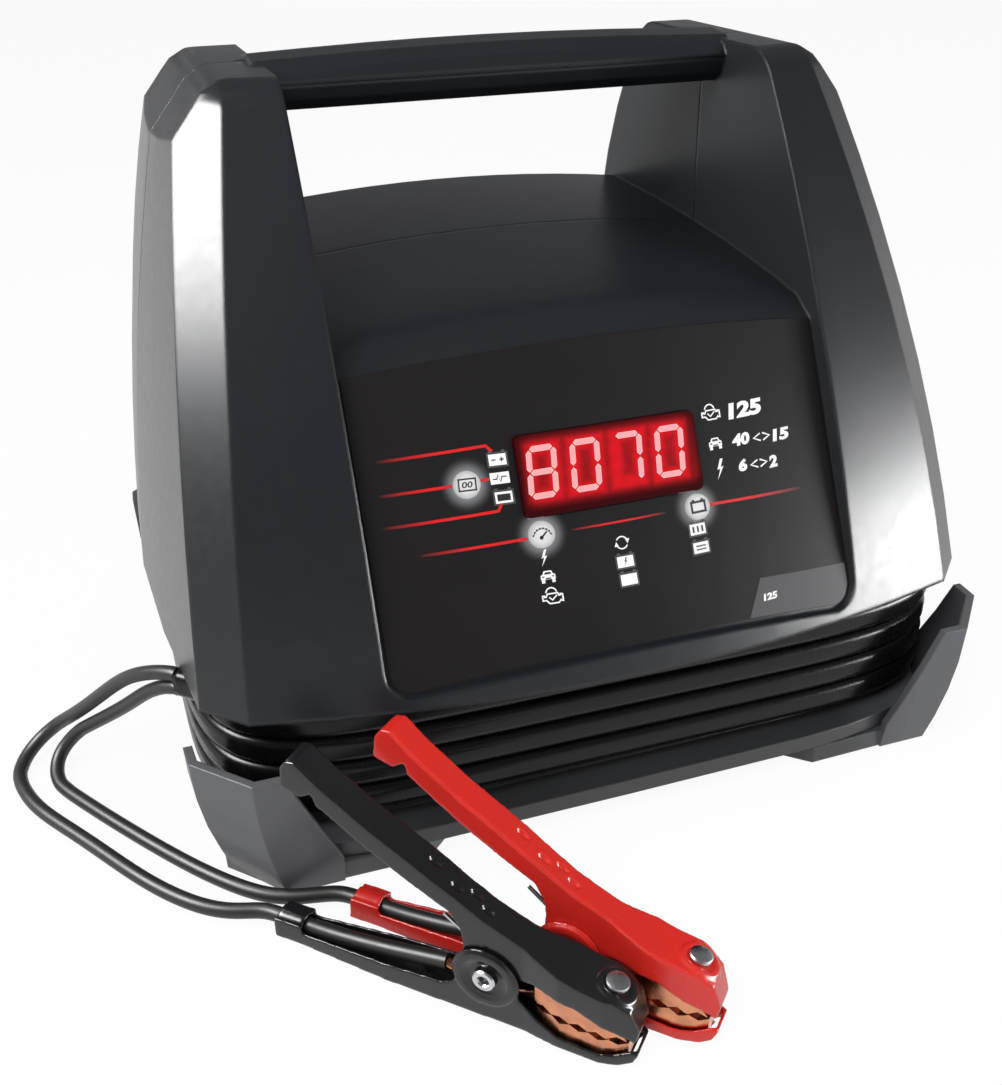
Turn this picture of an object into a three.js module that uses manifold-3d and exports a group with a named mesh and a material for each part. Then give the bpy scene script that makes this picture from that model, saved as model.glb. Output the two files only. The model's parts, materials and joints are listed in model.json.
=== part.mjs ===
// Car battery charger with engine start: a portable case with a carry handle, a sloping control
// panel, a cable-wrap base with four corner cleats, and two spring clamps on a pair of leads.
// Millimetres, +Z up, front towards -Y. The origin is under the middle of the case, on the floor.

import * as THREE from "three";
import { mergeVertices } from "three/addons/utils/BufferGeometryUtils.js";
import Module from "manifold-3d";

const wasm = await Module();
wasm.setup();

// ---------------------------------------------------------------- driving dimensions
const fit = 0.3; // running gap between separate pieces
const wall = 3; // moulded wall of the case
const tidyWithin = 0.02; // facets closer than this to one plane are merged
const wayClear = 40; // how far a cutting tool runs past what it cuts

// case: plan section at the underside, and how it tapers towards the top
const caseFrontHalf = 153.6; // half width between the front folds
const caseChamfer = 16.4; // corner chamfer in plan
const caseFoldAngle = 22.5; // half the turn at a folded corner, in degrees
const caseHalfDepth = 150; // front and back from the middle
const caseFrontBulge = 20; // the front stands this far forward of its folds
const caseSideBulge = 9.5; // the sides swell by this at the underside
const caseSideFlatten = 0.75; // share of that swelling that is gone at the top
const caseUnderside = 77.4; // height of the underside over the floor
const caseRise = 210.8; // height over which the taper is measured
const caseTop = 289.3;
const caseTopRound = 9;
const taperSideLinear = 13.9;
const taperSideSquare = 16.1;
const taperFrontLinear = 74.5;
const taperFrontSquare = 40.3;
const taperRearCube = 56;
const bevelDrop = 20.3; // the sides turn in to the top this far below it
const bevelTopHalf = 127.5; // half width of the flat top

// body between the pillars, panel and handle
const pillarInner = 102; // half width between the pillars' inner walls
const panelSlope = 0.514; // run back per unit of rise
const panelRecess = 2; // below the front surface, at the panel's lower edge
const panelBottomZ = 83.3;
const panelTopZ = 189.3; // at the sides
const panelTopArch = 6.5; // the panel's upper edge rises by this in the middle
const panelLowArch = 5.5; // and its lower edge by this
const panelLowSteps = 16;
const panelCornerRadius = 10;
const panelCornerSteps = 5;
const panelThickness = 1;
const panelEdgeGap = 2; // from the recess wall to the panel's edge
const bodyTopZ = 206.8; // rear of the body's top, beside the pillars
const bodyTopFall = 12.5; // fall of the top towards the front, before it bends down
const bodyTopPower = 2.6;
const bodyTopStations = [0.945, 0.87, 0.76, 0.62, 0.45, 0.25, 0.04]; // shares of the top's run
const bodyBackDrops = [8, 26.8, 56.8, 86.8]; // levels of the back, below the top
const rearRecess = 3;
const splitY = 29; // parting plane between the front and rear shells

const handleDepth = 46;
const handleUnderDrop = 18.3; // underside, below the case's top
const handleCreaseDrop = 6.8; // widest line of its section, below the case's top
const handleTopRise = 1.2; // crest, above the case's top at the pillars
const handleArch = 2.5; // the crest rises by this in the middle
const handleSeam = 1.2; // groove along the crease

// base with cleats
const footHeight = 10;
const padHeight = 1.2;
const plateThickness = 7.5;
const plateHalfX = 167.5;
const plateHalfY = 141;
const cornerPower = 6; // exponent of the rounded plan outlines
const cleatHeight = 61.6;
const cleatThickness = 3.5;
const cleatFoldX = 157;
const cleatFrontY = 146;
const cleatSideX = 180.5;
const cleatSideY = 124;
const cleatFlare = 12; // the cleat leans out by this from floor to top
const cleatTopRun = 11; // level part of each wing's top edge, from its fold
const cleatFootRun = 32; // length of each wing at its foot, from its fold
const cleatFootZ = 15;
const cleatWing = 50; // length of each wing before its end is cut slanting
const cleatSideTurn = 3; // the side wing's fold lies inside its end by this
const cleatFoldFlare = 0.75; // share of the lean that moves the folds sideways
const cleatFaceFlare = 0.45; // share of the lean that moves the front face back

// wound twin lead and its two free leads
const leadDiameter = 6.2;
const twinHeight = 12;
const twinThickness = 8;
const twinPitch = 12.6;
const twinHalfX = 169.5; // centre line's half sizes round the neck
const twinHalfY = 130;
const twinTurns = 3.66;
const loopSteps = 40;
const loopSides = 6;
const leadSides = 8;
const neckClearance = 0.6;
const straightRun = 5; // of each free lead where it leaves the twin
const stepsPerDiameter = 2.6; // length of one step along a free lead, in its diameters

// controls on the panel, as x and the distance up the slope from the panel's lower edge
const lensWidth = 76;
const lensHeight = 32;
const lensX = -1;
const lensS = 77.2;
const lensProud = 0.6;
const lensDepth = 5;
const lensCornerRadius = 2.5;
const buttonRadius = 5.2;
const buttonProud = 1;
const buttonTravel = 1;
const buttonShellGap = 0.8;
const buttonCollar = 2.2; // the collar under the panel is wider than the cap by this
const buttonCollarDepth = 7.2; // below the panel's face
const switchHeight = 4;
const switchGap = 1.4; // from a button at its stop to its switch
const buttonSites = [
  { name: "button_display", x: -59.3, s: 76.6 },
  { name: "button_rate", x: -33.5, s: 54 },
  { name: "button_type", x: 33.3, s: 54 },
];

// spring clamps, drawn in their own frame: u forward, v across, w up
const clampClear = 40; // past either side of a clamp
const clampAbove = 140; // past its top
const clampHeading = -43.9;
const clampSites = [
  { name: "black", x: -153.1, y: -155.1, roll: 0, colour: 0x18181a },
  { name: "red", x: -124.3, y: -157, roll: 6, colour: 0xc41410 },
];
const clampPivot = { u: 90, w: 19 };
const clampWall = 1.3;
const clampTailLength = 12.5;
const clampTailHalf = 5.6;
const clampTip = 146.5;
const clampNoseHalf = 9.5;
const clampLowerHalf = 7.6; // half width at the pivot, outside
const discRadius = 13.2;
const pivotRadius = 3;
const pivotHeadRadius = 4.4;
const pivotHeadHeight = 1.2;
const upperTailHalf = 6.4; // half width of the upper handle
const upperNoseHalf = 9.3;
const upperWeb = 2; // thickness of the upper half's back
const lowerFloor = 1.6;
const tabOuterRadius = 5;
const tabMargin = 0.4;
const jawStart = 108; // where the contact plates begin
const jawSideGap = 0.6;
const jawMiddle = 13; // height of the bite where the plates begin
const jawFall = 0.09; // fall of the bite per unit forward
const jawBite = 1.6; // depth of a tooth
const jawTeethSteps = 10;
const jawTroughRadius = 5.6;
const jawClear = 60; // past the plates' backs
const jawRivetAt = [136, 0, 30.3];
const jawRivetTilt = 10;
const jawRivetRadius = 4.2;
const jawRivetStem = 2.4;
const jawRivetHeight = 2;
const springRadius = 6.2;
const springWire = 1.6;
const springCurls = 3;
const springSteps = 8; // of one curl
const springSides = 5;
const springPitch = 2.2;
const springUpperAngle = 53;
const springLowerAngle = 288;
const springUpperLeg = 26;
const springLowerLeg = 33.6;
const leadAxisW = 5.3; // height of the lead's axis in the clamp's tail

// inside the case
const coreLength = 96;
const coreWidth = 80;
const coreHeight = 52;
const fanSize = 60;
const fanThickness = 15;
const fanX = 52;
const fanZ = 140;
const boardWidth = 150;
const boardHeight = 72;
const boardThickness = 1.6;
const boardDepth = 12; // behind the panel's face
const boardDrop = 6; // the board's middle lies below the display's
const screwRadius = 2;
const screwHeadRadius = 4;
const screwHeadHeight = 2.6;

// ---------------------------------------------------------------- small helpers
const deg = Math.PI / 180;
const sum = (solids) => solids.reduce((a, b) => a.add(b));

function toSolid(geometry) {
  const bare = geometry.clone();
  bare.deleteAttribute("normal");
  bare.deleteAttribute("uv");
  const merged = mergeVertices(bare, 1e-4);
  const vertProperties = new Float32Array(merged.attributes.position.array);
  const triVerts = new Uint32Array(merged.index.array);
  const made = new wasm.Manifold(new wasm.Mesh({ numProp: 3, vertProperties, triVerts }));
  if (made.volume() > 0) {
    return made;
  }
  for (let i = 0; i < triVerts.length; i += 3) {
    const keep = triVerts[i + 1];
    triVerts[i + 1] = triVerts[i + 2];
    triVerts[i + 2] = keep;
  }
  return new wasm.Manifold(new wasm.Mesh({ numProp: 3, vertProperties, triVerts }));
}

// Closed skin through rings of equally many points, capped on the plane of two coordinates.
function loft(rings, capAxes) {
  const count = rings[0].length;
  const position = rings.flat(2);
  const index = [];
  for (let r = 0; r + 1 < rings.length; r += 1) {
    for (let i = 0; i < count; i += 1) {
      const a = r * count + i;
      const b = r * count + ((i + 1) % count);
      index.push(a, b, a + count, b, b + count, a + count);
    }
  }
  const cap = (ring) =>
    THREE.ShapeUtils.triangulateShape(
      ring.map((p) => new THREE.Vector2(p[capAxes[0]], p[capAxes[1]])),
      [],
    );
  const last = (rings.length - 1) * count;
  cap(rings[0]).forEach(([a, b, c]) => index.push(a, c, b));
  cap(rings[rings.length - 1]).forEach(([a, b, c]) => index.push(last + a, last + b, last + c));
  // The cap triangles follow the outline's own turn, so the sides are turned to match it.
  const turn = THREE.ShapeUtils.area(
    rings[0].map((p) => new THREE.Vector2(p[capAxes[0]], p[capAxes[1]])),
  );
  if (turn < 0) {
    const sides = (rings.length - 1) * count * 6;
    for (let i = 0; i < sides; i += 3) {
      const keep = index[i + 1];
      index[i + 1] = index[i + 2];
      index[i + 2] = keep;
    }
  }
  const geometry = new THREE.BufferGeometry();
  geometry.setAttribute("position", new THREE.Float32BufferAttribute(position, 3));
  geometry.setIndex(index);
  return toSolid(geometry);
}

// Straight prism of an outline, along x (outline in y,z), y (x,z) or z (x,y).
function prism(axis, outline, from, to) {
  const place = {
    x: (p, d) => [d, p[0], p[1]],
    y: (p, d) => [p[0], d, p[1]],
    z: (p, d) => [p[0], p[1], d],
  }[axis];
  const capAxes = { x: [1, 2], y: [0, 2], z: [0, 1] }[axis];
  return loft([outline.map((p) => place(p, from)), outline.map((p) => place(p, to))], capAxes);
}

function box(x0, x1, y0, y1, z0, z1) {
  const geometry = new THREE.BoxGeometry(x1 - x0, y1 - y0, z1 - z0);
  geometry.translate((x0 + x1) / 2, (y0 + y1) / 2, (z0 + z1) / 2);
  return toSolid(geometry);
}

// Cylinder along x, y or z between two places on that axis.
function rod(axis, radius, a, b, from, to, sides = 20) {
  const geometry = new THREE.CylinderGeometry(radius, radius, Math.abs(to - from), sides);
  const middle = (from + to) / 2;
  if (axis === "z") {
    geometry.rotateX(Math.PI / 2);
    geometry.translate(a, b, middle);
  }
  if (axis === "y") {
    geometry.translate(a, middle, b);
  }
  if (axis === "x") {
    geometry.rotateZ(Math.PI / 2);
    geometry.translate(middle, a, b);
  }
  return toSolid(geometry);
}

const arc = (cx, cy, radius, start, end, steps) =>
  Array.from({ length: steps + 1 }, (_, i) => {
    const angle = (start + ((end - start) * i) / steps) * deg;
    return [cx + radius * Math.cos(angle), cy + radius * Math.sin(angle)];
  });

const moved = (solid, matrix) => {
  const m = matrix.elements;
  return solid.transform([...m]);
};

// Rounded plan outline: a superellipse with half sizes a and b.
const signedPower = (v) => Math.sign(v) * Math.abs(v) ** (2 / cornerPower);
function roundedPlan(a, b, steps = 48) {
  return Array.from({ length: steps }, (_, i) => {
    const angle = (i / steps) * 2 * Math.PI;
    return [a * signedPower(Math.cos(angle)), b * signedPower(Math.sin(angle))];
  });
}

const root = new THREE.Group();

function addNode(name, solid, material) {
  const { numProp, vertProperties, triVerts } = solid.simplify(tidyWithin).getMesh();
  const position = new Float32Array((vertProperties.length / numProp) * 3);
  for (let i = 0; i < position.length / 3; i += 1) {
    position.set(vertProperties.subarray(i * numProp, i * numProp + 3), i * 3);
  }
  const geometry = new THREE.BufferGeometry();
  geometry.setAttribute("position", new THREE.BufferAttribute(position, 3));
  geometry.setIndex(new THREE.BufferAttribute(new Uint32Array(triVerts), 1));
  const flat = geometry.toNonIndexed();
  flat.computeVertexNormals();
  const mesh = new THREE.Mesh(flat, material);
  mesh.name = name;
  root.add(mesh);
}

const finish = (color, roughness, metalness = 0) =>
  new THREE.MeshStandardMaterial({ color, roughness, metalness });
const casePlastic = finish(0x343a40, 0.45, 0.2);
const basePlastic = finish(0x3f4450, 0.5, 0.2);
const panelFilm = finish(0x1b191a, 0.4);
const redLens = finish(0x5a0508, 0.15);
const buttonWhite = finish(0xe8ecf0, 0.3);
const jacket = finish(0x16171a, 0.35);
const zinc = finish(0xb8bcc2, 0.35, 1);
const copper = finish(0xb8643c, 0.3, 1);
const boardGreen = finish(0x1f5a34, 0.6);
const coreSteel = finish(0x55585c, 0.5, 0.8);
const coilPaper = finish(0xc79a3a, 0.7);
const darkRubber = finish(0x121212, 0.9);
const greyAluminium = finish(0x9a9ea3, 0.4, 1);

// ---------------------------------------------------------------- the case's surfaces
const caseQ = (z) => (z - caseUnderside) / caseRise;
const caseHalf = (z) => caseFrontHalf - taperSideLinear * caseQ(z) - taperSideSquare * caseQ(z) ** 2;
const bulgeAt = (x) => caseFrontBulge * (x / caseFrontHalf) ** 2;
const frontY = (z) => -caseHalfDepth + taperFrontLinear * caseQ(z) + taperFrontSquare * caseQ(z) ** 2;
const rearY = (z) => caseHalfDepth - taperRearCube * Math.max(caseQ(z), 0) ** 3;

// Plan ring of the case at a height, drawn in by an inset normal to its faces.
function caseRing(z, inset, roundOff) {
  const fold = inset * Math.tan(caseFoldAngle * deg);
  const half = caseHalf(z) - fold;
  const side = caseHalf(z) + caseChamfer - inset;
  const front = frontY(z) + inset + roundOff;
  const rear = rearY(z) - inset - roundOff;
  const frontSteps = 10;
  const sideSteps = 4;
  const ring = [];
  for (let i = 0; i <= frontSteps; i += 1) {
    const x = -half + (2 * half * i) / frontSteps;
    ring.push([x, front + bulgeAt(x), z]);
  }
  const sideFront = front + bulgeAt(half) + caseChamfer;
  const sideRear = rear - caseChamfer;
  const bulge = caseSideBulge * (1 - caseSideFlatten * Math.min(Math.max(caseQ(z), 0), 1));
  const sidePoint = (sign, t) => [
    sign * (side + bulge * Math.sin(Math.PI * t)),
    sideFront + (sideRear - sideFront) * t,
    z,
  ];
  for (let i = 0; i <= sideSteps; i += 1) {
    ring.push(sidePoint(1, i / sideSteps));
  }
  ring.push([half, rear, z], [-half, rear, z]);
  for (let i = sideSteps; i >= 0; i -= 1) {
    ring.push(sidePoint(-1, i / sideSteps));
  }
  return ring;
}

// Closed form of the case: stacked rings, rounded over at the top, under a gable's outline.
function caseSolid(inset, bottom) {
  const top = caseTop - inset;
  const levels = [0, 0.14, 0.28, 0.42, 0.56, 0.7, 0.82, 0.92, 1];
  const roundAngles = [30, 60, 85];
  const straight = top - caseTopRound;
  const rings = levels.map((t) => caseRing(bottom + (straight - bottom) * t, inset, 0));
  for (const angle of roundAngles) {
    const rise = caseTopRound * Math.sin(angle * deg);
    const drawIn = caseTopRound * (1 - Math.cos(angle * deg));
    rings.push(caseRing(straight + rise, inset, drawIn));
  }
  const bevelSideZ = caseTop - bevelDrop;
  const sideAtBevel = caseHalf(bevelSideZ) + caseChamfer;
  const run = sideAtBevel - bevelTopHalf;
  const long = Math.hypot(run, bevelDrop);
  const push = (inset * (long - run)) / bevelDrop; // keeps the bevel's wall as thick as the rest
  const reach = 60; // the outline starts this far below the bevel
  const soft = 6; // the bevel's corners are eased over this length
  const easeLow = 0.2 * soft;
  const easeHigh = 0.6 * soft;
  const easeTop = 2.4 * soft;
  const crest = 1; // the outline's top stands this far clear of the case's
  const gable = [
    [sideAtBevel + reach * (run / bevelDrop) - push, bevelSideZ - reach],
    [sideAtBevel + (soft * run) / long - push + easeLow, bevelSideZ - soft],
    [sideAtBevel - push - (soft * run) / long, bevelSideZ + (soft * bevelDrop) / long],
    [bevelTopHalf + (soft * run) / long - push, caseTop - (soft * bevelDrop) / long],
    [bevelTopHalf - easeHigh - push, caseTop - crest / 2],
    [bevelTopHalf - easeTop - push, caseTop + crest],
  ];
  const low = [
    [2 * caseFrontHalf, -reach],
    [2 * caseFrontHalf, bevelSideZ - reach],
  ];
  const rightSide = [...low, ...gable];
  const skirt = [...rightSide, ...rightSide.map(([x, z]) => [-x, z]).reverse()];
  return loft(rings, [0, 1]).intersect(prism("y", skirt, -2 * caseHalfDepth, 2 * caseHalfDepth));
}

// ---------------------------------------------------------------- body between the pillars
const panelLowY = frontY(panelBottomZ) + panelRecess;
const panelY = (x, z) => panelLowY + panelSlope * (z - panelBottomZ) + bulgeAt(x);
const archAt = (x) => 1 - (x / pillarInner) ** 2;
const panelTopAt = (x) => panelTopZ + panelTopArch * archAt(x);
const slopeLength = Math.hypot(1, panelSlope);

// Outline of the body in y and z at a place across it, drawn in by a skin thickness.
function bodyProfile(x, skin, bottom) {
  const shift = (skin + panelThickness + fit) * slopeLength;
  const edgeShare = 0.6; // how much lower the bend sits under a skin
  const slopeRise = 30; // one more point on the slope, for even facets
  const topEdge = panelTopAt(x) - skin * edgeShare;
  const back = (z) => rearY(z) - rearRecess - skin;
  const crown = bodyTopZ + panelTopArch * archAt(x) - skin;
  const yFront = panelY(x, topEdge) + shift;
  const yBack = back(bodyTopZ);
  const run = yBack - yFront;
  const topZ = (t) => crown - bodyTopFall * t ** bodyTopPower;
  const points = [
    [panelY(x, bottom) + shift, bottom],
    [panelY(x, panelBottomZ + slopeRise) + shift, panelBottomZ + slopeRise],
    [yFront, topEdge],
  ];
  for (const t of bodyTopStations) {
    points.push([yBack - run * t, topZ(t)]);
  }
  bodyBackDrops.forEach((drop, i) => {
    const z = bodyTopZ - drop;
    points.push([back(z), i === 0 ? z - skin : z]);
  });
  points.push([back(bottom), bottom]);
  return points;
}

function bodySolid(halfWidth, skin, bottom) {
  const stations = 12;
  const rings = [];
  for (let i = 0; i <= stations; i += 1) {
    const x = -halfWidth + (2 * halfWidth * i) / stations;
    rings.push(bodyProfile(x, skin, bottom).map(([y, z]) => [x, y, z]));
  }
  return loft(rings, [1, 2]);
}

// Upright outline with round lower corners and an arched lower edge between them.
function panelOutline(half, low, high, radius, arch) {
  const lowEdge = [];
  for (let i = 1; i < panelLowSteps; i += 1) {
    const t = (2 * i) / panelLowSteps - 1;
    lowEdge.push([(half - radius) * t, low + arch * (1 - t * t)]);
  }
  return [
    ...arc(-half + radius, low + radius, radius, 180, 270, panelCornerSteps),
    ...(arch ? lowEdge : []),
    ...arc(half - radius, low + radius, radius, 270, 360, panelCornerSteps),
    [half, high],
    [-half, high],
  ];
}

// Channel between the pillars, round-cornered below, open above; only its front has the arch.
function channelSolid(grow) {
  const half = pillarInner + grow;
  const low = panelBottomZ - panelEdgeGap - grow;
  const radius = panelCornerRadius + grow;
  const high = caseTop + wayClear;
  const outline = (arch) => panelOutline(half, low, high, radius, arch);
  return prism("y", outline(panelLowArch), -2 * caseHalfDepth, splitY).add(
    prism("y", outline(0), splitY, 2 * caseHalfDepth),
  );
}

// Section of the handle in y and z: a low crest, soft shoulders and a rounded underside.
function handleProfile(x, skin) {
  const under = caseTop - handleUnderDrop;
  const crease = caseTop - handleCreaseDrop;
  const top = caseTop + handleTopRise + handleArch * archAt(x) - skin;
  const shoulder = { inwards: 3, below: 4.5, flat: 10, crown: 1.5 };
  const belly = { inwards: 3.5, above: 4.5, flat: 11 };
  const skinShare = 0.7; // how much of a skin the shoulders lose in height
  const shoulderZ = top + skin - shoulder.below - skin * skinShare;
  const bellyZ = under + belly.above + skin * skinShare;
  const y0 = splitY - handleDepth / 2 + skin;
  const y1 = splitY + handleDepth / 2 - skin;
  return [
    [y0, crease],
    [y0 + shoulder.inwards, shoulderZ],
    [y0 + shoulder.flat, top],
    [splitY, top + shoulder.crown],
    [y1 - shoulder.flat, top],
    [y1 - shoulder.inwards, shoulderZ],
    [y1, crease],
    [y1 - belly.inwards, bellyZ],
    [y1 - belly.flat, under + skin],
    [y0 + belly.flat, under + skin],
    [y0 + belly.inwards, bellyZ],
  ];
}

function handleSolid(halfWidth, skin) {
  const stations = 8;
  const rings = [];
  for (let i = 0; i <= stations; i += 1) {
    const x = -halfWidth + (2 * halfWidth * i) / stations;
    const shown = Math.max(-pillarInner, Math.min(pillarInner, x));
    rings.push(handleProfile(shown, skin).map(([y, z]) => [x, y, z]));
  }
  return loft(rings, [1, 2]);
}

// Frame on the panel's face: x across, y up the slope, z out of the face.
function panelFrame(x, s, depth = 0) {
  const rise = s / slopeLength;
  const across = new THREE.Vector3(1, (2 * caseFrontBulge * x) / caseFrontHalf ** 2, 0).normalize();
  const up = new THREE.Vector3(0, panelSlope / slopeLength, 1 / slopeLength);
  const out = new THREE.Vector3().crossVectors(across, up).normalize();
  const level = new THREE.Vector3().crossVectors(out, across);
  const z = panelBottomZ + rise;
  const matrix = new THREE.Matrix4().makeBasis(across, level, out);
  matrix.setPosition(new THREE.Vector3(x, panelY(x, z), z).addScaledVector(out, -depth));
  return matrix;
}

function roundedRectangle(width, height, radius) {
  const x = width / 2 - radius;
  const y = height / 2 - radius;
  return [
    ...arc(x, y, radius, 0, 90, 4),
    ...arc(-x, y, radius, 90, 180, 4),
    ...arc(-x, -y, radius, 180, 270, 4),
    ...arc(x, -y, radius, 270, 360, 4),
  ];
}

// ---------------------------------------------------------------- case shells
const lowPostInset = 25.6; // from the front folds
const lowPostRise = 28.7; // above the panel's lower edge
const highPostInset = 10; // inside each pillar
const highPostDrop = 53.3; // below the case's top
const lowPostX = caseFrontHalf - lowPostInset;
const lowPostZ = panelBottomZ + lowPostRise;
const highPostX = pillarInner + highPostInset;
const highPostZ = caseTop - highPostDrop;
const screwPosts = [
  [-lowPostX, lowPostZ],
  [lowPostX, lowPostZ],
  [-highPostX, highPostZ],
  [highPostX, highPostZ],
];
const cornerScrewInsetX = 15.6; // from the front folds
const cornerScrewInsetY = 58; // from the case's front and back
const cornerScrewX = caseFrontHalf - cornerScrewInsetX;
const cornerScrewY = caseHalfDepth - cornerScrewInsetY;
const cornerScrews = [
  [-cornerScrewX, -cornerScrewY],
  [cornerScrewX, -cornerScrewY],
  [-cornerScrewX, cornerScrewY],
  [cornerScrewX, cornerScrewY],
];
const postRadius = 6.5;
const rearPostRadius = postRadius + 1;
const postScrewLength = 18; // in front of the parting plane
const pocketBack = 33; // from the parting plane to the screws' seats
const pocketY = splitY + pocketBack;
const pocketRadius = screwHeadRadius + 0.8;
const cornerBossRadius = 6;
const cornerBossHeight = 18;
const floorOpeningX = 130;
const floorOpeningY = 88;
const plateTop = footHeight + plateThickness;

const outerCase = caseSolid(0, caseUnderside);
const channel = channelSolid(0);
const outside = outerCase
  .subtract(channel.subtract(bodySolid(pillarInner + 1, 0, caseUnderside - 1)))
  .add(handleSolid(pillarInner + 4, 0));

const innerFloor = caseUnderside + wall;
const cavity = caseSolid(wall, innerFloor)
  .subtract(
    channelSolid(wall).subtract(bodySolid(pillarInner + wall + 1, wall, innerFloor - 1)),
  )
  .add(handleSolid(pillarInner + 3 * wall, wall));
const floorOpening = prism(
  "z",
  roundedPlan(floorOpeningX, floorOpeningY, 40),
  caseUnderside - wall,
  innerFloor + wall,
);

const vertical = (x, y, radius, from, to) => rod("z", radius, x, y, from, to, 14);
const lengthwise = (x, z, radius, from, to) => rod("y", radius, x, z, from, to, 14);

// Openings for the controls run from outside the panel down to the board.
const cutProud = 20;

function lensCut(clearance) {
  const width = lensWidth + 2 * clearance;
  const height = lensHeight + 2 * clearance;
  const outline = roundedRectangle(width, height, lensCornerRadius);
  return moved(prism("z", outline, -boardDepth, cutProud), panelFrame(lensX, lensS));
}

function buttonCut(site, clearance) {
  const hole = rod("z", buttonRadius + clearance, 0, 0, -boardDepth, cutProud, 24);
  return moved(hole, panelFrame(site.x, site.s));
}

const boardFrame = panelFrame(0, lensS - boardDrop, boardDepth);
const boardPostRadius = 3.5;
const boardPostX = boardWidth / 2 - 8;
const boardPostY = boardHeight / 2 - 7;
const boardPostLength = boardDepth + 4;
const boardPosts = sum(
  [-1, 1].flatMap((sx) =>
    [-1, 1].map((sy) =>
      moved(
        rod("z", boardPostRadius, sx * boardPostX, sy * boardPostY, fit, boardPostLength, 12),
        boardFrame,
      ),
    ),
  ),
);

const frontPosts = sum(
  screwPosts.map(([x, z]) => lengthwise(x, z, postRadius, -caseHalfDepth, splitY)),
);
const rearPosts = sum(
  screwPosts.map(([x, z]) => lengthwise(x, z, rearPostRadius, splitY, caseHalfDepth)),
);
const cornerBosses = sum(
  cornerScrews.map(([x, y]) =>
    vertical(x, y, cornerBossRadius, caseUnderside, innerFloor + cornerBossHeight),
  ),
);
const cornerBores = sum(
  cornerScrews.map(([x, y]) =>
    vertical(x, y, screwRadius + fit, caseUnderside - 1, innerFloor + cornerBossHeight + 1),
  ),
);
const postBoreLength = postScrewLength + 4;
const postBores = sum(
  screwPosts.map(([x, z]) =>
    lengthwise(x, z, screwRadius + fit, splitY - postBoreLength, pocketY + 1),
  ),
);
const postPockets = sum(
  screwPosts.map(([x, z]) => lengthwise(x, z, pocketRadius, pocketY, caseHalfDepth + wayClear)),
);

// fan seat and vents in the rear wall
const fanWallGap = 3; // between the fan and the rear wall
const fanBack = rearY(fanZ + fanSize / 2) - rearRecess - wall - fanWallGap;
const fanPostRadius = 3.5;
const fanPostOffset = fanSize / 2 - 5;
const fanPosts = sum(
  [-1, 1].flatMap((sx) =>
    [-1, 1].map((sz) => {
      const x = fanX + sx * fanPostOffset;
      const z = fanZ + sz * fanPostOffset;
      return lengthwise(x, z, fanPostRadius, fanBack + fit, caseHalfDepth);
    }),
  ),
);
const ventPitch = 8;
const ventHeight = 3.6;
const ventRows = 3; // above and below the middle one
const ventRadius = 27; // of the round grille behind the fan
const ventLeastHalf = 6;
const ventWideHalf = 30; // of the plain slots beside it
const ventReach = 5; // past the case's rear face
const ventSlots = [];
for (let i = -ventRows; i <= ventRows; i += 1) {
  const chord = Math.sqrt(Math.max(ventRadius ** 2 - (i * ventPitch) ** 2, 0));
  const half = Math.max(chord, ventLeastHalf);
  const low = fanZ + i * ventPitch - ventHeight / 2;
  const high = low + ventHeight;
  const beyond = caseHalfDepth + ventReach;
  ventSlots.push(box(fanX - half, fanX + half, fanBack, beyond, low, high));
  ventSlots.push(box(-fanX - ventWideHalf, -fanX + ventWideHalf, fanBack, beyond, low, high));
}
const inletX = 0;
const inletRise = 16.6; // above the case's underside
const inletZ = caseUnderside + inletRise;
const inletRadius = 8;
const inletFlangeRadius = inletRadius + 3;
const inletBore = 4;
const inletInside = 8; // how far the bushing reaches inside the wall

const shellBody = outside.subtract(cavity).subtract(floorOpening);
const vast = 2 * caseTop;
const frontHalf = box(-vast, vast, -vast, splitY - fit / 2, 0, vast);
const rearHalf = box(-vast, vast, splitY + fit / 2, vast, 0, vast);

const handleFront = splitY - handleDepth / 2;
const seamMiddle = caseTop - handleCreaseDrop;
const seamGroove = box(
  -pillarInner,
  pillarInner,
  handleFront - handleSeam,
  handleFront + handleSeam,
  seamMiddle - handleSeam / 2,
  seamMiddle + handleSeam / 2,
);

const frontShell = shellBody
  .add(frontPosts.intersect(outerCase))
  .add(cornerBosses.intersect(outerCase))
  .add(boardPosts.intersect(outside))
  .subtract(cornerBores)
  .subtract(postBores)
  .subtract(lensCut(fit))
  .subtract(sum(buttonSites.map((site) => buttonCut(site, buttonShellGap))))
  .subtract(seamGroove)
  .intersect(frontHalf);
addNode("front_shell", frontShell, casePlastic);

const rearShell = shellBody
  .add(rearPosts.intersect(outerCase))
  .add(cornerBosses.intersect(outerCase))
  .add(fanPosts.intersect(outside))
  .subtract(cornerBores)
  .subtract(postBores)
  .subtract(postPockets)
  .subtract(sum(ventSlots))
  .subtract(lengthwise(inletX, inletZ, inletRadius, pocketY, caseHalfDepth + wayClear))
  .intersect(rearHalf);
addNode("rear_shell", rearShell, casePlastic);

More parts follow.
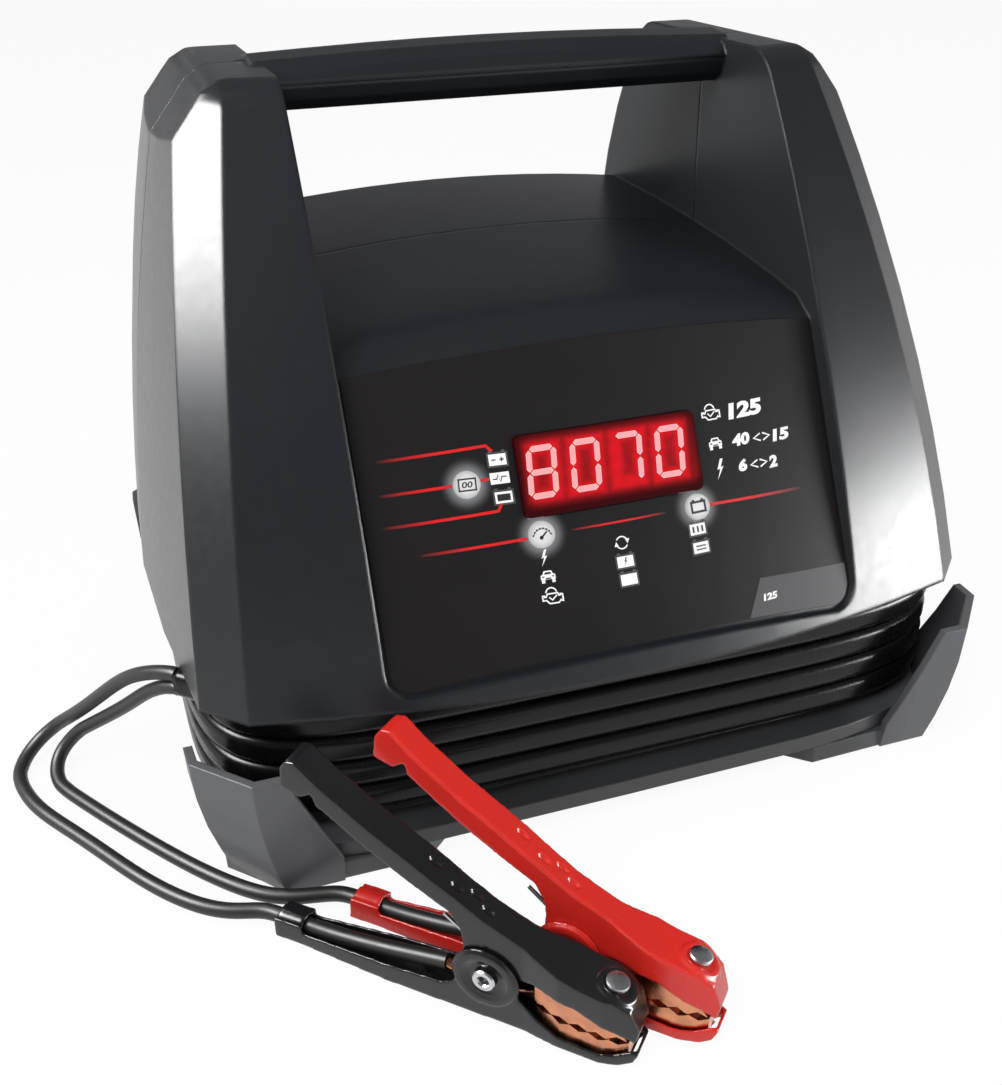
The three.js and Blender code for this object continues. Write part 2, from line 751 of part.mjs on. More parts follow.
// ---------------------------------------------------------------- control panel and its controls
function panelSheet() {
  const half = pillarInner - panelEdgeGap;
  const stations = 14;
  const rings = [];
  for (let i = 0; i <= stations; i += 1) {
    const x = -half + (2 * half * i) / stations;
    const low = panelBottomZ - 2 * panelEdgeGap;
    const high = panelTopAt(x) + 2 * fit;
    const back = panelThickness * slopeLength;
    rings.push([
      [x, panelY(x, low), low],
      [x, panelY(x, low) + back, low],
      [x, panelY(x, high) + back, high],
      [x, panelY(x, high), high],
    ]);
  }
  const radius = panelCornerRadius - panelEdgeGap;
  const outline = panelOutline(half, panelBottomZ, caseTop, radius, panelLowArch);
  return loft(rings, [1, 2]).intersect(prism("y", outline, -2 * caseHalfDepth, caseHalfDepth));
}
const panel = panelSheet()
  .subtract(lensCut(fit))
  .subtract(sum(buttonSites.map((site) => buttonCut(site, fit))));
addNode("control_panel", panel, panelFilm);

const lensOutline = roundedRectangle(lensWidth, lensHeight, lensCornerRadius);
const lensBody = prism("z", lensOutline, -lensDepth, lensProud);
addNode("display_lens", moved(lensBody, panelFrame(lensX, lensS)), redLens);

const displayMargin = 2;
const displayBlock = box(
  -lensWidth / 2 + displayMargin,
  lensWidth / 2 - displayMargin,
  -lensHeight / 2 + displayMargin,
  lensHeight / 2 - displayMargin,
  -boardDepth + fit,
  -lensDepth - fit,
);
addNode("display_module", moved(displayBlock, panelFrame(lensX, lensS)), darkRubber);

const boardSlab = box(
  -boardWidth / 2,
  boardWidth / 2,
  -boardHeight / 2,
  boardHeight / 2,
  -boardThickness,
  0,
);
addNode("control_board", moved(boardSlab, boardFrame), boardGreen);

for (const site of buttonSites) {
  const stem = -boardDepth + switchHeight + 2 * buttonTravel + switchGap;
  const cap = rod("z", buttonRadius, 0, 0, stem, buttonProud, 24);
  const collar = rod("z", buttonRadius + buttonCollar, 0, 0, stem, -buttonCollarDepth, 24);
  addNode(site.name, moved(cap.add(collar), panelFrame(site.x, site.s)), buttonWhite);
}

// ---------------------------------------------------------------- base with neck and cleats
const plate = prism("z", roundedPlan(plateHalfX, plateHalfY), footHeight, plateTop);
const neckX = twinHalfX - twinThickness / 2 - neckClearance;
const neckY = twinHalfY - twinThickness / 2 - neckClearance;
const neckTop = caseUnderside - fit;
const neck = prism("z", roundedPlan(neckX, neckY, 72), plateTop - 1, neckTop).subtract(
  prism("z", roundedPlan(neckX - wall, neckY - wall, 48), plateTop - 2, neckTop + 1),
);

// One corner cleat, for the corner at +x and -y: a flared, folded wall with slanting ends.
function cleat() {
  const levels = [0, 0.2, 0.45, 0.7, 1];
  const rings = levels.map((t) => {
    const z = padHeight + (cleatHeight - padHeight) * t;
    const lean = cleatFlare * (1 - t) ** 2;
    const drop = lean * cleatFaceFlare;
    const foldX = cleatFoldX - lean * cleatFoldFlare;
    const front = -cleatFrontY + drop;
    const side = cleatSideX - lean;
    const sideY = -cleatSideY + drop;
    const corner = side - cleatSideTurn;
    const inner = cleatThickness;
    const bend = inner * Math.tan(caseFoldAngle * deg);
    return [
      [foldX - cleatWing, front, z],
      [foldX, front, z],
      [corner, sideY, z],
      [side, sideY + cleatWing, z],
      [side - inner, sideY + cleatWing, z],
      [corner - inner, sideY + bend, z],
      [foldX - bend, front + inner, z],
      [foldX - cleatWing, front + inner, z],
    ];
  });
  const wing = loft(rings, [0, 1]);
  const endCut = (fold, outwards) => [
    [fold - outwards * cleatFootRun, -1],
    [fold - outwards * cleatFootRun, cleatFootZ],
    [fold - outwards * cleatTopRun, cleatHeight + 1],
    [outwards * vast, cleatHeight + 1],
    [outwards * vast, -1],
  ];
  return wing
    .intersect(prism("y", endCut(cleatFoldX, 1), -vast, vast))
    .intersect(prism("x", endCut(-cleatSideY, -1), -vast, vast));
}

// Foot block under the plate's corner, in one piece with its cleat.
const blockTop = footHeight - fit;
const blockSetBack = { front: 7, side: 12, fold: 9 }; // inside the cleat's faces
const blockFrontRun = { low: 61, high: 48 }; // from the corner screw to the block's far end
const blockEndRise = 36; // the far end lies this far in front of the screw
const blockSideRun = 8; // behind the screw at the side
const blockNotch = { outwards: 12, behind: 22 };
const blockWaist = { inwards: 38, before: 4 };
function footBlock() {
  const screwY = -cornerScrewY;
  const outline = [
    [cornerScrewX - blockFrontRun.low, screwY - blockEndRise],
    [cornerScrewX - blockFrontRun.high, -plateHalfY + 1],
    [cleatFoldX - blockSetBack.fold, -cleatFrontY + blockSetBack.front],
    [cleatSideX - blockSetBack.side, -cleatSideY + blockSetBack.front],
    [cleatSideX - blockSetBack.side, screwY + blockSideRun],
    [cornerScrewX + blockNotch.outwards, screwY + blockNotch.behind],
    [cornerScrewX - blockWaist.inwards, screwY - blockWaist.before],
  ];
  const low = outline.map(([x, y]) => [x, y, padHeight]);
  const high = outline.map(([x, y]) => [x, y, blockTop]);
  return loft([low, high], [0, 1]);
}

const corner = cleat().add(footBlock());
const mirror = (solid, sx, sy) => moved(solid, new THREE.Matrix4().makeScale(sx, sy, 1));
const cornerTurns = [
  [-1, 1],
  [1, 1],
  [-1, -1],
  [1, -1],
];

const headSeatZ = 6;
const counterboreRadius = screwHeadRadius + 2 * fit;
const baseBosses = sum(
  cornerScrews.map(([x, y]) => vertical(x, y, cornerBossRadius, plateTop - 1, neckTop)),
);
const baseBores = sum(
  cornerScrews.map(([x, y]) => vertical(x, y, screwRadius + fit, 0, neckTop + 1)),
);
const baseCounterbores = sum(
  cornerScrews.map(([x, y]) => vertical(x, y, counterboreRadius, -1, headSeatZ)),
);
const padX = 118;
const padY = 112;
const padSites = [
  [-padX, -padY],
  [padX, -padY],
  [-padX, padY],
  [padX, padY],
];
const padRadius = 9;
const padRecess = 2;
const padPockets = sum(
  padSites.map(([x, y]) => vertical(x, y, padRadius + fit, padHeight - 1, padHeight + padRecess)),
);

// The boot where the twin lead leaves the neck, at the back: a tapered block on the neck's wall.
const bootLength = 30;
const bootTaper = [
  [1, 0.55],
  [0.5, 0.85],
  [fit / bootLength, 1],
]; // share of its length from the lead, and of the lead's section there
const twinStartZ = plateTop + fit + twinHeight / 2;
const boot = loft(
  bootTaper.map(([along, share]) => {
    const x = -bootLength * along;
    const half = (twinHeight / 2) * share;
    const outer = twinHalfY - twinThickness / 2 + twinThickness * share;
    return [
      [x, neckY - 1, twinStartZ - half],
      [x, outer, twinStartZ - half],
      [x, outer, twinStartZ + half],
      [x, neckY - 1, twinStartZ + half],
    ];
  }),
  [1, 2],
);

const transformerX = -52;
const coreSeatRadius = 5;
const coreSeatHeight = 6;
const coreFootRun = 9; // from the core's end to its fixing
const coreFootX = coreLength / 2 + coreFootRun;
const coreSeats = sum(
  [-1, 1].map((side) => {
    const x = transformerX + side * coreFootX;
    return vertical(x, 0, coreSeatRadius, plateTop - 1, plateTop + coreSeatHeight);
  }),
);

const base = sum([plate, neck, baseBosses, boot, coreSeats]).subtract(baseBores);
addNode("base", base, basePlastic);
cornerTurns.forEach(([sx, sy], i) => {
  const piece = mirror(corner, sx, sy)
    .subtract(baseBores)
    .subtract(baseCounterbores)
    .subtract(padPockets);
  addNode(`corner_cleat_${i + 1}`, piece, basePlastic);
});

padSites.forEach(([x, y], i) => {
  const pad = vertical(x, y, padRadius, 0, padHeight + padRecess - fit);
  addNode(`foot_pad_${i + 1}`, pad, darkRubber);
});

// ---------------------------------------------------------------- screws
cornerScrews.forEach(([x, y], i) => {
  const tip = innerFloor + cornerBossHeight - 2 * screwRadius;
  const under = headSeatZ - fit;
  const shank = rod("z", screwRadius, x, y, under - 1, tip, 10);
  const head = rod("z", screwHeadRadius, x, y, under - screwHeadHeight, under, 16);
  addNode(`base_screw_${i + 1}`, shank.add(head), zinc);
});
screwPosts.forEach(([x, z], i) => {
  const under = pocketY + fit;
  const shank = rod("y", screwRadius, x, z, splitY - postScrewLength, under + 1, 10);
  const head = rod("y", screwHeadRadius, x, z, under, under + screwHeadHeight, 16);
  addNode(`case_screw_${i + 1}`, shank.add(head), zinc);
});

// ---------------------------------------------------------------- inside: power parts
const coreBottom = plateTop + coreSeatHeight + fit;
const coreFootThickness = 2;
const coreFootHalf = 14;
const coreLow = coreBottom + coreFootThickness;
const coreMid = coreLow + coreHeight / 2;
const coreHalf = coreLength / 2;
const coreOuter = box(
  transformerX - coreHalf,
  transformerX + coreHalf,
  -coreWidth / 2,
  coreWidth / 2,
  coreLow,
  coreLow + coreHeight,
);
const windowLength = coreLength / 4;
const windowHeight = coreHeight / 2;
const legHalf = coreLength / 8; // half the middle leg, between the windows
const coreWindows = [-1, 1].map((side) => {
  const x = transformerX + side * (legHalf + windowLength / 2);
  return box(
    x - windowLength / 2,
    x + windowLength / 2,
    -coreWidth,
    coreWidth,
    coreMid - windowHeight / 2,
    coreMid + windowHeight / 2,
  );
});
const coreFeet = box(
  transformerX - coreFootX - 8,
  transformerX + coreFootX + 8,
  -coreFootHalf,
  coreFootHalf,
  coreBottom,
  coreLow,
);
addNode("transformer_core", coreOuter.subtract(sum(coreWindows)).add(coreFeet), coreSteel);

// The winding fills both windows and bulges out in front and behind as one ring.
const coilBulge = 16;
const coilGap = 0.6;
const coilReach = coreWidth / 2 + coilBulge;
const coilHalf = legHalf + windowLength - coilGap;
const coilRing = box(
  transformerX - coilHalf,
  transformerX + coilHalf,
  -coilReach,
  coilReach,
  coreMid - windowHeight / 2 + coilGap,
  coreMid + windowHeight / 2 - coilGap,
).subtract(
  box(
    transformerX - legHalf - coilGap,
    transformerX + legHalf + coilGap,
    -coreWidth / 2 - coilGap,
    coreWidth / 2 + coilGap,
    0,
    caseTop,
  ),
);
addNode("transformer_winding", coilRing, coilPaper);

const sinkX = 62;
const sinkLength = 70;
const sinkFront = -40;
const sinkWidth = 60;
const sinkHeight = 34;
const sinkBaseThickness = 5;
const finCount = 7;
const finPitch = 9;
const finThickness = 2;
const finMargin = 2; // from the base's front edge to the first fin
const sinkLow = plateTop + fit;
const sinkSlab = (y0, y1, z0, z1) =>
  box(sinkX - sinkLength / 2, sinkX + sinkLength / 2, y0, y1, z0, z1);
const sinkFins = [];
for (let i = 0; i < finCount; i += 1) {
  const y = sinkFront + finMargin + i * finPitch;
  sinkFins.push(sinkSlab(y, y + finThickness, plateTop + sinkBaseThickness, plateTop + sinkHeight));
}
const sinkBase = sinkSlab(sinkFront, sinkFront + sinkWidth, sinkLow, sinkLow + sinkBaseThickness);
addNode("rectifier_heatsink", sum([sinkBase, ...sinkFins]), greyAluminium);
const diodeLength = 48;
const diodeWidth = 22;
const diodeHeight = 22;
const diodeGap = 10; // behind the heatsink
const diodeY = sinkFront + sinkWidth + diodeGap;
const diodeBlock = box(
  sinkX - diodeLength / 2,
  sinkX + diodeLength / 2,
  diodeY,
  diodeY + diodeWidth,
  sinkLow,
  plateTop + diodeHeight,
);
addNode("rectifier_block", diodeBlock, darkRubber);

const fanFront = fanBack - fanThickness;
const fanRim = 2.5;
const strutThickness = 2;
const strutHalf = 3;
const fanAxleRadius = 3;
const fanAxleLength = 6;
const fanBore = lengthwise(fanX, fanZ, fanSize / 2 - fanRim, fanFront - 1, fanBack + 1);
const fanFrame = box(
  fanX - fanSize / 2,
  fanX + fanSize / 2,
  fanFront,
  fanBack,
  fanZ - fanSize / 2,
  fanZ + fanSize / 2,
).subtract(fanBore);
const fanStrut = box(
  fanX - fanSize / 2 + 1,
  fanX + fanSize / 2 - 1,
  fanFront,
  fanFront + strutThickness,
  fanZ - strutHalf,
  fanZ + strutHalf,
);
const fanAxle = lengthwise(fanX, fanZ, fanAxleRadius, fanFront, fanFront + fanAxleLength);
addNode("fan_frame", fanFrame.add(fanStrut).add(fanAxle), darkRubber);

const hubRadius = 11;
const hubFrontGap = 3.2;
const hubBackGap = 2.5;
const bladeCount = 7;
const bladeTip = fanSize / 2 - 4;
const bladeThickness = 1.2;
const bladeChord = 9;
const bladePitch = 48;
const bladeShift = 0.8; // behind the fan's middle
const blades = [];
for (let i = 0; i < bladeCount; i += 1) {
  const blade = box(
    hubRadius - 2,
    bladeTip,
    -bladeThickness / 2,
    bladeThickness / 2,
    -bladeChord / 2,
    bladeChord / 2,
  );
  const turn = new THREE.Matrix4()
    .makeTranslation(fanX, fanBack - fanThickness / 2 + bladeShift, fanZ)
    .multiply(new THREE.Matrix4().makeRotationY((i / bladeCount) * 2 * Math.PI))
    .multiply(new THREE.Matrix4().makeRotationX(bladePitch * deg));
  blades.push(moved(blade, turn));
}
const hubBore = lengthwise(
  fanX,
  fanZ,
  fanAxleRadius + fit,
  fanFront,
  fanFront + fanAxleLength + fit,
);
const hub = lengthwise(fanX, fanZ, hubRadius, fanFront + hubFrontGap, fanBack - hubBackGap);
addNode("fan_rotor", sum([hub.subtract(hubBore), ...blades]), darkRubber);

// Bushing of the mains inlet, in the rear wall.
const inletWallY = rearY(inletZ) - rearRecess;
const inletFlange = inletWallY + rearRecess - fit;
const inletStart = inletWallY - inletInside;
const inletBushing = lengthwise(inletX, inletZ, inletRadius - fit, inletStart, inletFlange)
  .add(lengthwise(inletX, inletZ, inletFlangeRadius, inletWallY + fit, inletFlange))
  .subtract(lengthwise(inletX, inletZ, inletBore, inletStart - 1, inletFlange + 1));
addNode("mains_inlet_bushing", inletBushing, darkRubber);

// ---------------------------------------------------------------- wound twin lead
// Steps along the rounded outline, from the middle of the back towards +x. They are spread
// half by length and half by turning, so that the corners stay round.
function neckPath(turns) {
  const fine = 4000;
  const around = Array.from({ length: fine + 1 }, (_, i) => {
    const angle = Math.PI / 2 - (i / fine) * 2 * Math.PI;
    return {
      x: twinHalfX * signedPower(Math.cos(angle)),
      y: twinHalfY * signedPower(Math.sin(angle)),
      length: 0,
      turning: 0,
    };
  });
  for (let i = 1; i <= fine; i += 1) {
    const before = around[i - 1];
    const here = around[i];
    here.heading = Math.atan2(here.y - before.y, here.x - before.x);
    here.length = before.length + Math.hypot(here.x - before.x, here.y - before.y);
    const turn = i > 1 ? Math.abs(here.heading - before.heading) : 0;
    here.turning = before.turning + Math.min(turn, 2 * Math.PI - turn);
  }
  const whole = around[fine];
  const share = (p) => (p.length / whole.length + p.turning / whole.turning) / 2;
  const at = (turn) => {
    const want = turn - Math.floor(turn);
    const i = Math.max(1, around.findIndex((p) => share(p) >= want));
    const a = around[i - 1];
    const b = around[i];
    const t = (want - share(a)) / Math.max(share(b) - share(a), 1e-9);
    const lengthShare = (a.length + (b.length - a.length) * t) / whole.length;
    return new THREE.Vector3(
      a.x + (b.x - a.x) * t,
      a.y + (b.y - a.y) * t,
      twinStartZ + twinPitch * (Math.floor(turn) + lengthShare),
    );
  };
  const steps = Math.round(turns * loopSteps);
  return Array.from({ length: steps + 1 }, (_, i) => at((turns * i) / steps));
}

// Closed skin through rings of a convex section, with a fan of triangles over each end.
function tubeSkin(rings) {
  const sides = rings[0].length;
  const index = [];
  for (let r = 0; r + 1 < rings.length; r += 1) {
    for (let k = 0; k < sides; k += 1) {
      const a = r * sides + k;
      const b = r * sides + ((k + 1) % sides);
      index.push(a, b, a + sides, b, b + sides, a + sides);
    }
  }
  const last = (rings.length - 1) * sides;
  for (let k = 1; k + 1 < sides; k += 1) {
    index.push(0, k + 1, k);
    index.push(last, last + k, last + k + 1);
  }
  const geometry = new THREE.BufferGeometry();
  geometry.setAttribute("position", new THREE.Float32BufferAttribute(rings.flat(2), 3));
  geometry.setIndex(index);
  return toSolid(geometry);
}

// Skin round a path: an oval section kept upright, square to the path at both ends.
function ovalTube(path, thickness, height, sides) {
  const rings = path.map((p, i) => {
    const before = path[Math.max(i - 1, 0)];
    const after = path[Math.min(i + 1, path.length - 1)];
    const ahead = new THREE.Vector3().subVectors(after, before).normalize();
    const across = new THREE.Vector3(-ahead.y, ahead.x, 0).normalize();
    const up = new THREE.Vector3().crossVectors(ahead, across).normalize();
    return Array.from({ length: sides }, (_, k) => {
      const angle = ((k + 0.5) / sides) * 2 * Math.PI;
      const reach = 1 / Math.cos(Math.PI / sides);
      return new THREE.Vector3()
        .copy(p)
        .addScaledVector(across, (reach * Math.cos(angle) * thickness) / 2)
        .addScaledVector(up, (Math.sin(angle) * height) / 2)
        .toArray();
    });
  });
  return tubeSkin(rings);
}

const twinLoops = neckPath(twinTurns);
const twinLast = twinLoops[twinLoops.length - 1];
const twinExit = [
  [-3.4, 10, 0.5],
  [-8.2, 18, 0.8],
  [-14, 24.5, 0.4],
].map(([x, y, z]) => new THREE.Vector3(twinLast.x + x, twinLast.y + y, twinLast.z + z));
const twinPath = [...twinLoops, ...twinExit];
addNode("wound_lead", ovalTube(twinPath, twinThickness, twinHeight, loopSides), jacket);

// Least gap between turns that lie side by side, measured on the outlines' points.
function leastTurnGap(path, height) {
  let least = Infinity;
  path.forEach((p, i) => {
    path.slice(i + loopSteps / 2).forEach((q) => {
      const level = Math.hypot(p.x - q.x, p.y - q.y);
      if (level < twinThickness) {
        least = Math.min(least, Math.abs(p.z - q.z) - height);
      }
    });
  });
  return least;
}
const turnGap = leastTurnGap(twinPath, twinHeight).toFixed(2);
console.log("wound lead: least gap between turns", turnGap, "mm");

// ---------------------------------------------------------------- clamps
const clampMatrix = (site) =>
  new THREE.Matrix4()
    .makeTranslation(site.x, site.y, clampLowerHalf * Math.sin(site.roll * deg))
    .multiply(new THREE.Matrix4().makeRotationZ(clampHeading * deg))
    .multiply(new THREE.Matrix4().makeRotationX(-site.roll * deg));

// Section in u and w, drawn across v; the clamp frame's u, v, w are x, y, z here.
const across = (outline, half) => prism("y", outline, -half, half);

const upperTop = [
  [11.3, 77],
  [12, 85.5],
  [14.5, 89],
  [18.5, 89.5],
  [27, 82.5],
  [46, 70],
  [63, 60.5],
  [73, 54.5],
  [89, 45],
  [109, 36.5],
  [125, 31.5],
  [137, 29.5],
  [143, 25],
  [146, 16],
  [145, 11],
];
const upperUnder = [
  [139, 14.5],
  [124, 21],
  [108, 23],
  [101.5, 21],
  ...arc(clampPivot.u, clampPivot.w, 9, 0, -180, 6),
  [80.5, 25],
  [80.8, 31],
  [80, 37],
  [76, 43.5],
  [58, 53],
  [45.5, 60],
  [25.5, 73],
  [24, 77.5],
  [19.2, 74.5],
];

// Plan outline from stations of [u, half width], mirrored about the middle.
const planOf = (stations, thinner = 0) => [
  ...stations.map(([u, half]) => [u, -half + thinner]),
  ...stations.map(([u, half]) => [u, half - thinner]).reverse(),
];
const noseStart = 118;
const noseEnd = 134;
const cheekStart = 78;
const cheekEnd = 104;
const upperPlan = [
  [-1, upperTailHalf],
  [70, upperTailHalf],
  [cheekStart, clampLowerHalf - clampWall - fit],
  [cheekEnd, clampLowerHalf - clampWall - fit],
  [noseStart, upperNoseHalf],
  [noseEnd, upperNoseHalf],
  [clampTip, 5.6],
];
const lowerPlan = [
  [-1, clampTailHalf],
  [clampTailLength, clampTailHalf],
  [50, clampLowerHalf],
  [cheekEnd, clampLowerHalf],
  [noseStart, clampNoseHalf],
  [noseEnd, clampNoseHalf],
  [clampTip, 6],
];
const shorter = (stations, by) =>
  stations.map(([u, half]) => [u === clampTip ? u - by : u, half]);
const pivotBore = rod(
  "y",
  pivotRadius + fit,
  clampPivot.u,
  clampPivot.w,
  -clampClear,
  clampClear,
  16,
);

// Upper half: a channel, open below, under a back that follows the outline's top.
function upperHalf() {
  const outer = across([...upperTop, ...upperUnder], clampClear);
  const slip = 0.3; // the hollow's back lies this far rearward of the outline's
  const rear = 13.2;
  const front = 144.4;
  const under = upperTop.slice(2, 13).map(([u, w]) => [u - slip, w - upperWeb]);
  const hollowOutline = [[rear, 60], ...under, [front, 12], [front, -20], [rear, -20]];
  const hollowPlan = planOf(shorter(upperPlan, 2), clampWall);
  const hollow = across(hollowOutline, clampClear).intersect(
    prism("z", hollowPlan, -clampClear, clampAbove),
  );
  return outer
    .intersect(prism("z", planOf(upperPlan), -10, clampAbove))
    .subtract(hollow)
    .subtract(pivotBore);
}

const lowerOutline = [
  [0, 0],
  [140, 0],
  [144.5, 2],
  [clampTip, 6.4],
  [144, 7.2],
  [138, 4.8],
  [130, 4.2],
  [118, 5.2],
  [110, 8.5],
  ...arc(clampPivot.u, clampPivot.w, discRadius, -20, 205, 12),
  [73, 10],
  [clampTailLength, 6],
  [clampTailLength, 9],
  [0, 9],
];

// Lower half: a trough, with two cheeks round the pivot and tabs that wrap the lead's jacket.
function lowerHalf() {
  const outer = across(lowerOutline, clampClear);
  const hollowPlan = planOf(shorter(lowerPlan, 1.5), clampWall);
  const hollow = prism("z", hollowPlan, lowerFloor, clampAbove);
  const tabEnd = clampTailLength - tabMargin;
  const tabs = rod("x", tabOuterRadius, 0, leadAxisW, tabMargin, tabEnd).subtract(
    rod("x", leadDiameter / 2 + fit, 0, leadAxisW, tabMargin - 1, tabEnd + 1),
  );
  const tabHalf = tabOuterRadius + tabMargin;
  const tabArea = box(0, clampTailLength, -tabHalf, tabHalf, 1, clampClear);
  return outer
    .intersect(prism("z", planOf(lowerPlan), -1, clampAbove))
    .subtract(hollow)
    .subtract(pivotBore)
    .add(tabs.intersect(tabArea));
}

// Toothed contact plate that lines a jaw, curved like a shallow trough with notched edges.
function jawPlate(lower) {
  const end = lower ? 142.5 : 141.8;
  const teeth = Array.from({ length: jawTeethSteps + 1 }, (_, i) => {
    const u = jawStart + ((end - jawStart) * i) / jawTeethSteps;
    const mid = jawMiddle - (u - jawStart) * jawFall;
    const out = (i % 2 === 0 ? 0 : jawBite) + fit / 2;
    return [u, lower ? mid - out : mid + out];
  });
  const lowerBack = [
    [end, 2.6],
    [jawStart + 4, 2.6],
  ];
  const upperBack = [
    [end, 15.5],
    [end - 4, 19],
    [jawStart + 8, 23.5],
    [jawStart, 23.5],
  ];
  const plan = [
    [jawStart - 1, 4.9],
    [noseStart, clampNoseHalf - clampWall - jawSideGap],
    [noseEnd, clampNoseHalf - clampWall - jawSideGap],
    [end + 0.5, 5],
  ];
  const troughW = lower ? jawMiddle + 0.5 : jawMiddle - 0.5;
  const trough = rod("x", jawTroughRadius, 0, troughW, jawStart - 1, end + 1, 16);
  return across([...teeth, ...(lower ? lowerBack : upperBack)], clampClear)
    .intersect(prism("z", planOf(plan), -10, jawClear))
    .subtract(trough);
}

// Torsion spring round the pivot: one leg lies rearward over the lower half, and the other
// reaches up under the upper half.
function torsionSpring() {
  const steps = springCurls * springSteps;
  const width = springCurls * springPitch;
  const startAngle = springUpperAngle * deg;
  const sweep = (springCurls * 360 + springUpperAngle - springLowerAngle) * deg;
  const point = (angle, v) =>
    new THREE.Vector3(
      clampPivot.u + springRadius * Math.cos(angle),
      v,
      clampPivot.w + springRadius * Math.sin(angle),
    );
  const path = Array.from({ length: steps + 1 }, (_, i) =>
    point(startAngle - (sweep * i) / steps, -width / 2 + (width * i) / steps),
  );
  const upper = new THREE.Vector3(-Math.sin(startAngle), 0, Math.cos(startAngle));
  const endAngle = startAngle - sweep;
  const lower = new THREE.Vector3(Math.sin(endAngle), 0, -Math.cos(endAngle));
  path.unshift(path[0].clone().addScaledVector(upper, springUpperLeg));
  path.push(path[path.length - 1].clone().addScaledVector(lower, springLowerLeg));
  return wireTube(path, springWire / 2, springSides);
}

// Round wire along a path, on frames carried from ring to ring.
function wireTube(path, radius, sides) {
  const rings = [];
  let side = new THREE.Vector3(0, 1, 0);
  path.forEach((p, i) => {
    const before = path[Math.max(i - 1, 0)];
    const after = path[Math.min(i + 1, path.length - 1)];
    const ahead = new THREE.Vector3().subVectors(after, before).normalize();
    side = side.clone().addScaledVector(ahead, -side.dot(ahead)).normalize();
    const up = new THREE.Vector3().crossVectors(ahead, side);
    rings.push(
      Array.from({ length: sides }, (_, k) => {
        const angle = (k / sides) * 2 * Math.PI;
        return new THREE.Vector3()
          .copy(p)
          .addScaledVector(side, radius * Math.cos(angle))
          .addScaledVector(up, radius * Math.sin(angle))
          .toArray();
      }),
    );
  });
  return tubeSkin(rings);
}

function pivotPin() {
  const { u, w } = clampPivot;
  const seat = clampLowerHalf + fit;
  const shaft = rod("y", pivotRadius, u, w, -seat - 1, seat + 1, 16);
  const heads = [-1, 1].map((side) =>
    rod("y", pivotHeadRadius, u, w, side * seat, side * (seat + pivotHeadHeight)),
  );
  return sum([shaft, ...heads]);
}

// Rivet through the upper jaw's web that holds its contact plate.
function jawRivet() {
  const head = rod("z", jawRivetRadius, 0, 0, 0, jawRivetHeight);
  const stem = rod("z", jawRivetStem, 0, 0, -0.5, 0.5, 12);
  const place = new THREE.Matrix4()
    .makeTranslation(...jawRivetAt)
    .multiply(new THREE.Matrix4().makeRotationY(jawRivetTilt * deg));
  return moved(head.add(stem), place);
}

for (const site of clampSites) {
  const place = clampMatrix(site);
  const vinyl = finish(site.colour, 0.3);
  const put = (name, solid, material) =>
    addNode(`${site.name}_${name}`, moved(solid, place), material);
  put("clamp_lower", lowerHalf(), vinyl);
  put("clamp_upper", upperHalf(), vinyl);
  put("clamp_pivot", pivotPin(), zinc);
  put("clamp_spring", torsionSpring(), zinc);
  put("jaw_plate_lower", jawPlate(true), copper);
  put("jaw_plate_upper", jawPlate(false), copper);
  put("jaw_rivet", jawRivet(), zinc);
}

// ---------------------------------------------------------------- free leads
// Hand-laid routes over the floor, from the end of the wound lead to each clamp's tail.
const twinEnd = twinPath[twinPath.length - 1];
const routes = {
  black: [
    [-190, -63, 67],
    [-199, -50, 56],
    [-209, -38, 42],
    [-219, -25, 28],
    [-228, -14, 17],
    [-237, -8, 9],
    [-245, -11, 4.5],
    [-249, -22, 3.5],
    [-247, -37, 3.5],
    [-241, -55, 3.5],
    [-228, -74, 3.5],
    [-215, -94, 3.5],
    [-201, -116, 3.5],
    [-186, -134, 3.5],
    [-172, -145, 3.8],
  ],
  red: [
    [-187, -65, 59],
    [-195, -54, 47],
    [-205, -42, 35],
    [-215, -31, 24],
    [-224, -21, 14],
    [-232, -16, 6.5],
    [-237, -21, 3.6],
    [-237, -31, 3.5],
    [-230, -44, 3.5],
    [-216, -66, 3.5],
    [-201, -88, 3.5],
    [-183, -113, 3.5],
    [-163, -136, 3.5],
    [-148, -146, 3.8],
  ],
};

function leadPath(site) {
  const side = site.name === "black" ? 1 : -1;
  const beforeEnd = twinPath[twinPath.length - 2];
  const exit = new THREE.Vector3().subVectors(twinEnd, beforeEnd).normalize();
  const level = new THREE.Vector3(-exit.y, exit.x, 0).normalize();
  const up = new THREE.Vector3().crossVectors(exit, level);
  const start = new THREE.Vector3()
    .copy(twinEnd)
    .addScaledVector(exit, fit)
    .addScaledVector(up, (side * (leadDiameter + fit)) / 2);
  const place = clampMatrix(site);
  const inClamp = [
    [-9, 0, leadAxisW - 0.4],
    [-2, 0, leadAxisW],
    [12, 0, leadAxisW],
    [24, 0, leadAxisW + 0.3],
    [44, 0, leadAxisW + 2.4],
    [72, 0, leadAxisW + 7],
  ].map((p) => new THREE.Vector3(...p).applyMatrix4(place));
  const points = [
    start,
    new THREE.Vector3().copy(start).addScaledVector(exit, straightRun),
    ...routes[site.name].map((p) => new THREE.Vector3(...p)),
    ...inClamp,
  ];
  return new THREE.CatmullRomCurve3(points, false, "centripetal");
}

